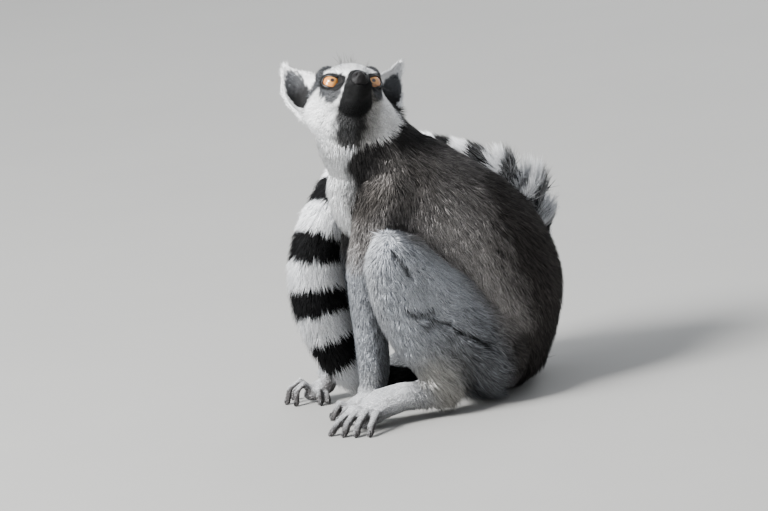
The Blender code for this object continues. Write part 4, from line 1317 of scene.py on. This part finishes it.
def tube_mesh(name, line, radii, sides):
    """A closed round tube along a line, in metres."""
    _, up, aside = frames_along(line)
    angles = np.arange(sides) * 2 * math.pi / sides
    bm = bmesh.new()
    rings = []
    for k in range(len(line)):
        ring = line[k] + radii[k] * (np.cos(angles)[:, None] * up[k] + np.sin(angles)[:, None] * aside[k])
        rings.append([bm.verts.new(point) for point in ring])
    bridge(bm, rings)
    bmesh.ops.recalc_face_normals(bm, faces=bm.faces)
    return mesh_from(bm, name)


class LEMUR_OT_tail(bpy.types.Operator):
    """The tail's core and its banded coat"""

    bl_idname = "lemur.tail"
    bl_label = "Tail"

    def execute(self, context):
        rows = catmull_rom([(*centre, radius) for centre, radius in TAIL], 6)
        line, radii = to_frame(rows[:, :3]), rows[:, 3] * MM
        core = radii * TAIL_CORE
        core[-1] *= 0.5
        mesh = tube_mesh("tail_core", line, core, 20)
        rings = search_tree(TAIL_NODES)
        store_colours(mesh, self.ring_colours(points_of(mesh), rings) * 0.5)
        add_piece("tail_core", mesh, finished("skin"), "coat_white", *TAIL_NODES)
        self.cover(line, radii, rings)
        return {"FINISHED"}

    def ring_colours(self, points, rings):
        """The colour of the ring nearest to each point."""
        black = np.array([name.endswith("black") for name in TAIL_NODES])
        return np.where(black[label_points(points, *rings)][:, None], tint("black"), tint("ring"))

    def tuft_places(self, radii, along, long, rng):
        """Where the tufts stand: shares of the tail's length, and turns round it in radians."""
        steps = (np.arange(TAIL_STEPS) + 0.5) / TAIL_STEPS
        weight = np.interp(steps, along / along[-1], radii)
        weight *= 1 + 0.05 * np.maximum(np.interp(steps - 0.03, *zip(*FLUFF)), 0)
        steps = np.cumsum(weight)
        wanted = (np.arange(TAIL_TUFTS) + rng.random(TAIL_TUFTS)) / TAIL_TUFTS * steps[-1]
        share = np.searchsorted(steps, wanted) / TAIL_STEPS + rng.random(TAIL_TUFTS) / TAIL_STEPS
        turn = np.arange(TAIL_TUFTS) * TAIL_TURN + rng.normal(size=TAIL_TUFTS) * 0.1
        return share - 0.6 * long / along[-1], turn

    def cover(self, line, radii, rings):
        """Tufts all round the core, laid towards the tail's end and loose where the coat stands open."""
        rng = np.random.default_rng(29)
        count = TAIL_TUFTS
        long, wide = np.array(TAIL_TUFT) * MM
        ahead, up, aside = frames_along(line)
        along = np.concatenate([[0], np.cumsum(np.linalg.norm(np.diff(line, axis=0), axis=1))])
        share, turn = self.tuft_places(radii, along, long, rng)
        where = np.clip(share, 0, 1) * along[-1]

        def read(values):
            return np.stack([np.interp(where, along, column) for column in values.T], -1)

        radius = np.interp(where, along, radii)
        out = unit(read(up) * np.cos(turn)[:, None] + read(aside) * np.sin(turn)[:, None])
        forward = unit(read(ahead))
        roots = read(line) + out * (radius * TAIL_CORE - 0.3 * MM)[:, None]
        middle = roots + (out * 0.3 + forward * 0.5) * long
        white = self.ring_colours(middle, rings)[:, 0] > 0.2
        fluff = np.interp(share, *zip(*FLUFF)) * MM
        loose = np.clip(fluff / MM / 14, 0, 1)
        fluff *= np.where(white | (fluff < 0), 1, BLACK_FLUFF)
        rise = radius * (1 - TAIL_CORE) * rng.uniform(0.82, 1.06, count)
        rise += fluff * rng.uniform(0.4, 1.2, count)
        length = np.maximum(long * rng.uniform(0.75, 1.15, count), rise * 1.12)
        lift = np.clip(rise / length, 0, 0.9)
        kinks = wavy(to_design(roots), 13, 41) * 0.22 + rng.normal(size=(count, 3)) * 0.12
        lie = forward + kinks * (1 + 1.6 * loose[:, None])
        lie = unit(lie - out * np.sum(lie * out, 1)[:, None])
        tufts = {
            "roots": roots,
            "ways": leaning(lie, out, np.clip(lift * 1.3, 0, 0.98)),
            "bends": leaning(lie, out, np.clip(lift * 0.7, 0, 0.95)),
            "sides": unit(np.cross(lie, out)),
            "lengths": length,
            "widths": wide * rng.uniform(0.7, 1.2, count) * (1 - 0.35 * loose),
        }
        keep_above_floor(tufts)
        middle = roots + (tufts["ways"] * 0.5 + tufts["bends"] * 0.1) * length[:, None]
        colours = self.ring_colours(middle, rings)
        greyed = loose * (rng.random(count) < 0.6) * np.where(white, 0.4, 0.9)
        colours = mix(colours, tint("ring") * 0.6, greyed)
        colours = grizzled(colours, rng, 0.3)
        share = np.clip(share, 0, 1)
        places = np.stack([share * 0.96 + 0.02, 0.1 + 0.8 * ((turn / (2 * math.pi)) % 1)], 1)
        order = np.argsort(share, kind="stable")
        add_coat("tail", tufts, order, colours, places, "coat_white")


class LEMUR_OT_eyes(bpy.types.Operator):
    """Two amber eyes, each with the bulge of its cornea, and the dark rims of their lids"""

    bl_idname = "lemur.eyes"
    bl_label = "Eyes and lids"

    def execute(self, context):
        iris = self.iris_material()
        rim = finished("lid_skin", lemur().leather_colour)
        for side, sign in (("right", 1), ("left", -1)):
            axis = unit(np.array((GAZE[0] * sign, *GAZE[1:])))
            centre = np.array((EYE_CENTRE[0] * sign, *EYE_CENTRE[1:]))
            forward = Vector(np.array(head_frame().to_3x3()) @ axis)
            bm = bmesh.new()
            bmesh.ops.create_uvsphere(bm, u_segments=64, v_segments=40, radius=EYE_RADIUS * MM)
            for vertex in bm.verts:
                angle = vertex.co.angle(Vector((0, 0, 1)))
                vertex.co *= 1 + CORNEA_RISE * max(0.0, 1 - (angle / CORNEA_HALF) ** 2)
            name = "eyeball_" + side
            eye = add_piece(name, mesh_from(bm, name), iris, "eye_amber")
            eye.parent = None
            place = Vector(from_head([centre - axis * EYE_SUNK])[0])
            look = forward.to_track_quat("Z", "Y").to_matrix().to_4x4()
            eye.matrix_world = Matrix.Translation(place) @ look
            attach(eye, "root")
            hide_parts("eye_" + side)
            self.lid_rim(side, sign, rim)
        return {"FINISHED"}

    def lid_rim(self, side, sign, material):
        """A dark band along the edge of the lids, which runs into the skin."""
        axis, across, up = eye_directions()
        bm = bmesh.new()
        rings = []
        for angle in np.arange(LID_STEPS) * 2 * math.pi / LID_STEPS:
            flat = across * math.cos(angle) * EYE_OPENING[0] + up * math.sin(angle) * EYE_OPENING[1]
            flat = flat / opening_share(flat @ across, flat @ up, EYE_OPENING[1])
            turn = math.asin(min(np.linalg.norm(flat) / (EYE_RADIUS + 0.4), 0.98))
            ring = []
            for share, out in LID_PROFILE:
                tilt = turn + share * LID_WIDTH * (1 + 0.4 * max(math.sin(angle), 0)) / EYE_RADIUS
                way = unit(flat) * math.sin(tilt) + axis * math.cos(tilt)
                place = EYE_CENTRE + way * (EYE_RADIUS + out)
                ring.append(bm.verts.new(from_head(place * (sign, 1, 1))))
            rings.append(ring)
        bridge(bm, rings, closed=True)
        bmesh.ops.recalc_face_normals(bm, faces=bm.faces)
        name = "lid_rim_" + side
        add_piece(name, mesh_from(bm, name), material, "nose_leather")

    def iris_material(self):
        """Rings of colour from the pupil out, with fine streaks, under a clear coat."""
        made, nodes, links, shader = new_material("eye", 0.08, 0.6)
        shader.inputs["Coat Weight"].default_value = 1
        shader.inputs["Coat Roughness"].default_value = 0.02
        place, split = add_node(nodes, "TexCoord"), add_node(nodes, "SeparateXYZ")
        flat, reach = add_node(nodes, "CombineXYZ"), add_node(nodes, "VectorMath", "LENGTH")
        turn, streak_place = add_node(nodes, "Math", "ARCTAN2"), add_node(nodes, "CombineXYZ")
        streak = add_node(nodes, "TexNoise", Scale=9, Detail=3)
        size = add_node(nodes, "MapRange", From_Max=EYE_RADIUS * MM)
        ramp = add_node(nodes, "ValToRGB")
        vary = add_node(nodes, "MapRange", To_Min=0.65, To_Max=1.35)
        shade = add_node(nodes, "VectorMath", "SCALE")
        links.new(place.outputs["Object"], split.inputs[0])
        links.new(split.outputs["X"], flat.inputs["X"])
        links.new(split.outputs["Y"], flat.inputs["Y"])
        links.new(flat.outputs[0], reach.inputs[0])
        links.new(split.outputs["Y"], turn.inputs[0])
        links.new(split.outputs["X"], turn.inputs[1])
        links.new(turn.outputs[0], streak_place.inputs["X"])
        links.new(reach.outputs["Value"], streak_place.inputs["Y"])
        links.new(streak_place.outputs[0], streak.inputs["Vector"])
        links.new(reach.outputs["Value"], size.inputs["Value"])
        links.new(size.outputs["Result"], ramp.inputs["Fac"])
        links.new(streak.outputs["Fac"], vary.inputs["Value"])
        links.new(ramp.outputs["Color"], shade.inputs[0])
        links.new(vary.outputs["Result"], shade.inputs["Scale"])
        links.new(shade.outputs[0], shader.inputs["Base Color"])
        iris, dark = (*lemur().iris_colour, 1), PUPIL_COLOUR
        rim = (iris[0] * 0.35, iris[1] * 0.25, iris[2] * 0.2, 1)
        inner = (iris[0], iris[1] * 1.3, iris[2] * 1.5, 1)
        stops = [(0, dark), (0.15, dark), (0.2, rim), (0.27, inner)]
        stops += [(0.55, iris), (0.8, iris), (0.97, rim)]
        while len(ramp.color_ramp.elements) < len(stops):
            ramp.color_ramp.elements.new(0.5)
        for element, (where, colour) in zip(ramp.color_ramp.elements, stops):
            element.position = where
            element.color = colour
        return made


class LEMUR_OT_nose(bpy.types.Operator):
    """The bare black nose with its pebbled, moist skin"""

    bl_idname = "lemur.nose"
    bl_label = "Nose"

    def execute(self, context):
        made = finished("nose_leather", lemur().leather_colour)
        mesh = mesh_from(swollen("nose", NOSE_SWELL), "nose_skin")
        nose = add_piece("nose_skin", mesh, made, "nose_leather", "nose")
        add_remesh(nose, NOSE_GRAIN * MM)
        soften = nose.modifiers.new("Soften", "SMOOTH")
        soften.factor = 0.5
        soften.iterations = 6
        apply_modifiers(nose)
        nose.data.materials.clear()
        nose.data.materials.append(made)
        nose.data.shade_smooth()
        return {"FINISHED"}


class LEMUR_OT_nails(bpy.types.Operator):
    """A dark, arched nail on the end of every digit"""

    bl_idname = "lemur.nails"
    bl_label = "Nails"

    def execute(self, context):
        made = finished("nail", lemur().leather_colour)
        for paw in PAWS:
            bm = bmesh.new()
            for joint, tip in paw_points(paw):
                self.add_nail(bm, joint, tip)
            name = "nails_" + paw
            add_piece(name, mesh_from(bm, name), made, "nose_leather")
        return {"FINISHED"}

    def add_nail(self, bm, joint, tip):
        """A plate that narrows and bends down to its end, on the upper side of the digit's end."""
        ahead = unit(tip - joint)
        aside = unit(np.cross((0, 0, 1), ahead))
        up = np.cross(ahead, aside)
        long, wide, thick = NAIL
        start = tip - ahead * 2.2 + up * (DIGIT_RADIUS - 0.6)
        rows, columns = NAIL_GRID
        grid = []
        for layer in (1, -1):
            for i in range(rows):
                share = i / (rows - 1)
                half = wide / 2 * math.sqrt(max(1 - share**3, 0.02))
                half *= 0.75 + 0.25 * math.sin(math.pi * share)
                for k in range(columns):
                    across = 2 * k / (columns - 1) - 1
                    drop = 0.9 * across**2 + 2.6 * share**2.2
                    height = -drop + layer * thick / 2 * (1 - across**2) * (1 - share**2)
                    place = start + ahead * share * long + aside * across * half + up * height
                    place[2] = max(place[2], 0.3)
                    grid.append(bm.verts.new(to_frame(place)))
        size = rows * columns
        for i in range(rows - 1):
            for k in range(columns - 1):
                a = i * columns + k
                quad = (a, a + 1, a + columns + 1, a + columns)
                bm.faces.new([grid[n] for n in quad])
                bm.faces.new([grid[size + n] for n in quad[::-1]])
        ring = list(range(columns)) + [i * columns + columns - 1 for i in range(1, rows)]
        ring += [(rows - 1) * columns + k for k in range(columns - 2, -1, -1)]
        ring += [i * columns for i in range(rows - 2, 0, -1)]
        for a, b in zip(ring, ring[1:] + ring[:1]):
            bm.faces.new([grid[n] for n in (b, a, size + a, size + b)])


class LEMUR_OT_whiskers(bpy.types.Operator):
    """Fine dark whiskers on the lips and brows and over the crown"""

    bl_idname = "lemur.whiskers"
    bl_label = "Whiskers"

    def execute(self, context):
        rng = np.random.default_rng(7)
        made = finished("whisker", lemur().leather_colour)
        bm = bmesh.new()
        for root, way, length, count in WHISKERS:
            for side in [(-1, 1, 1)] * count + [(1, 1, 1)] * count:
                start = np.array(root) + rng.normal(size=3) * (1.6, 2.2, 1.2)
                ahead = unit(np.array(way) + rng.normal(size=3) * 0.16)
                self.add_hair(bm, start * side, ahead * side, length * rng.uniform(0.7, 1.1))
        add_piece("whiskers", mesh_from(bm, "whiskers"), made, "coat_black")
        return {"FINISHED"}

    def add_hair(self, bm, start, ahead, length):
        """One hair of three sides that thins and droops to its end, in the head's frame."""
        aside = unit(np.cross(ahead, (0.2, 0.1, 1)))
        other = np.cross(ahead, aside)
        rings = []
        for share in (0, 0.35, 0.7, 1):
            middle = start + ahead * length * share - np.array((0, 0.12, 0.1)) * length * share**2
            thick = WHISKER_RADIUS * (1 - 0.85 * share)
            ring = []
            for k in range(3):
                angle = 2 * math.pi * k / 3
                place = middle + (aside * math.cos(angle) + other * math.sin(angle)) * thick
                ring.append(bm.verts.new(from_head(place)))
            rings.append(ring)
        bridge(bm, rings)


class LEMUR_OT_stage(bpy.types.Operator):
    """Pale floor, soft light and the camera at the photograph's angle"""

    bl_idname = "lemur.stage"
    bl_label = "Stage"

    def execute(self, context):
        self.floor()
        self.lights()
        self.camera()
        return {"FINISHED"}

    def floor(self):
        bm = bmesh.new()
        bmesh.ops.create_grid(bm, x_segments=1, y_segments=1, size=12)
        mesh = mesh_from(bm, "floor")
        mesh.materials.append(finished("floor", FLOOR_COLOUR))
        floor = bpy.data.objects.new("floor", mesh)
        bpy.context.scene.collection.objects.link(floor)

    def lights(self):
        world = bpy.data.worlds.new("studio")
        bpy.context.scene.world = world
        world.use_nodes = True
        background = world.node_tree.nodes["Background"]
        background.inputs["Color"].default_value = SKY
        background.inputs["Strength"].default_value = SKY_STRENGTH
        for name, place, size, power, colour in LAMPS:
            light = bpy.data.lights.new(name, "AREA")
            light.shape = "DISK"
            light.size = size
            light.energy = power
            light.color = colour
            obj = bpy.data.objects.new(name, light)
            obj.location = place
            obj.rotation_euler = (Vector(LAMP_AIM) - Vector(place)).to_track_quat("-Z", "Y").to_euler()
            bpy.context.scene.collection.objects.link(obj)

    def camera(self):
        settings = lemur()
        rise, roll = settings.camera_elevation, settings.camera_roll
        back = Vector((0, -math.cos(rise), math.sin(rise)))
        level = Vector((1, 0, 0))
        up = back.cross(level)
        right = level * math.cos(roll) - up * math.sin(roll)
        above = level * math.sin(roll) + up * math.cos(roll)
        aim = Vector(to_frame(right * CAMERA_AIM[0] + above * CAMERA_AIM[1]))
        camera = bpy.data.cameras.new("camera")
        camera.sensor_width = SENSOR
        camera.lens = SENSOR * settings.camera_distance / settings.view_width
        obj = bpy.data.objects.new("camera", camera)
        turn = Matrix((right, above, back)).transposed().to_4x4()
        obj.matrix_world = Matrix.Translation(aim + back * settings.camera_distance) @ turn
        camera.clip_end = 60
        bpy.context.scene.collection.objects.link(obj)
        bpy.context.scene.camera = obj


class LemurSettings(bpy.types.PropertyGroup):
    """Colours and sizes of the lemur"""

    def colour(name, description, default):
        return bpy.props.FloatVectorProperty(
            name=name, description=description, default=default, subtype="COLOR", size=3, min=0, max=1
        )

    def size(name, description, default):
        return bpy.props.FloatProperty(
            name=name, description=description, default=default, min=0, unit="LENGTH", precision=5
        )

    back_colour: colour("Back", "Dark brown-grey of the spine and rump", (0.042, 0.038, 0.0365))
    flank_colour: colour("Flank", "Grey-brown of the flanks", (0.31, 0.294, 0.286))
    shoulder_colour: colour("Shoulder", "Warm brown of the shoulders", (0.06, 0.054, 0.05))
    collar_colour: colour("Collar", "Near black beside the chest and on the nape", (0.02, 0.019, 0.019))
    limb_colour: colour("Limbs", "Blue-grey of the limbs", (0.305, 0.32, 0.346))
    cream_colour: colour("Cream", "Warm pale hair over the heel", (0.42, 0.41, 0.385))
    paw_colour: colour("Paws", "Nearly white coat of hands and feet", (0.42, 0.426, 0.438))
    pad_colour: colour("Pads", "Dark skin of the digits", (0.06, 0.055, 0.055))
    white_colour: colour("White", "Coat of the face and chest", (0.9, 0.905, 0.91))
    ring_colour: colour("Rings", "White rings of the tail", (0.8, 0.81, 0.83))
    black_colour: colour("Black", "Coat of the muzzle and black rings", (0.006, 0.006, 0.0065))
    mask_colour: colour("Mask", "Dark grey round the eyes and on the crown", (0.05, 0.052, 0.056))
    # This colour also paints shade: under the jaw and on the face's far side
    throat_colour: colour("Throat", "Dark brown-grey of the throat", (0.026, 0.0245, 0.022))
    leather_colour: colour("Leather", "Bare skin of the nose and lids", (0.006, 0.0055, 0.006))
    iris_colour: colour("Iris", "Amber of the eyes", (0.5, 0.185, 0.036))
    skin_voxel: size("Skin grain", "Grain at which the skin is melted into one", 0.00115)
    skin_smoothing: bpy.props.IntProperty(
        name="Skin smoothing", description="Rounds of smoothing of the skin", default=110, min=0
    )
    skin_faces: bpy.props.IntProperty(
        name="Skin faces", description="Triangles that the skin keeps", default=175000, min=1000
    )
    grizzle: bpy.props.FloatProperty(
        name="Grizzle", description="How much single tufts differ in colour", default=0.3, min=0
    )
    camera_elevation: bpy.props.FloatProperty(
        name="Camera elevation", description="Angle of the camera above the floor",
        default=math.radians(12), unit="ROTATION"
    )
    camera_roll: bpy.props.FloatProperty(
        name="Camera roll", description="Slope that the picture gives to the floor",
        default=math.radians(7), unit="ROTATION"
    )
    camera_distance: size("Camera distance", "From the aim to the camera", 8.0)
    view_width: size("View width", "Width of the picture at the lemur", 0.6912)


class LEMUR_PT_panel(bpy.types.Panel):
    """Lists what makes the lemur"""

    bl_idname = "LEMUR_PT_panel"
    bl_label = "Lemur"
    bl_space_type = "VIEW_3D"
    bl_region_type = "UI"
    bl_category = "Lemur"

    def draw(self, context):
        for name in LemurSettings.__annotations__:
            self.layout.prop(context.scene.lemur, name)
        for operator in OPERATORS:
            self.layout.operator(operator.bl_idname)


OPERATORS = (
    LEMUR_OT_skin_and_coat,
    LEMUR_OT_tail,
    LEMUR_OT_eyes,
    LEMUR_OT_nose,
    LEMUR_OT_nails,
    LEMUR_OT_whiskers,
    LEMUR_OT_stage,
)


def register():
    bpy.utils.register_class(LemurSettings)
    bpy.types.Scene.lemur = bpy.props.PointerProperty(type=LemurSettings)
    for cls in (*OPERATORS, LEMUR_PT_panel):
        bpy.utils.register_class(cls)


def unregister():
    for cls in reversed((*OPERATORS, LEMUR_PT_panel)):
        bpy.utils.unregister_class(cls)
    del bpy.types.Scene.lemur
    bpy.utils.unregister_class(LemurSettings)


def main():
    register()
    bpy.ops.lemur.skin_and_coat()
    bpy.ops.lemur.tail()
    bpy.ops.lemur.eyes()
    bpy.ops.lemur.nose()
    bpy.ops.lemur.nails()
    bpy.ops.lemur.whiskers()
    bpy.ops.lemur.stage()


if __name__ == "__main__":
    main()
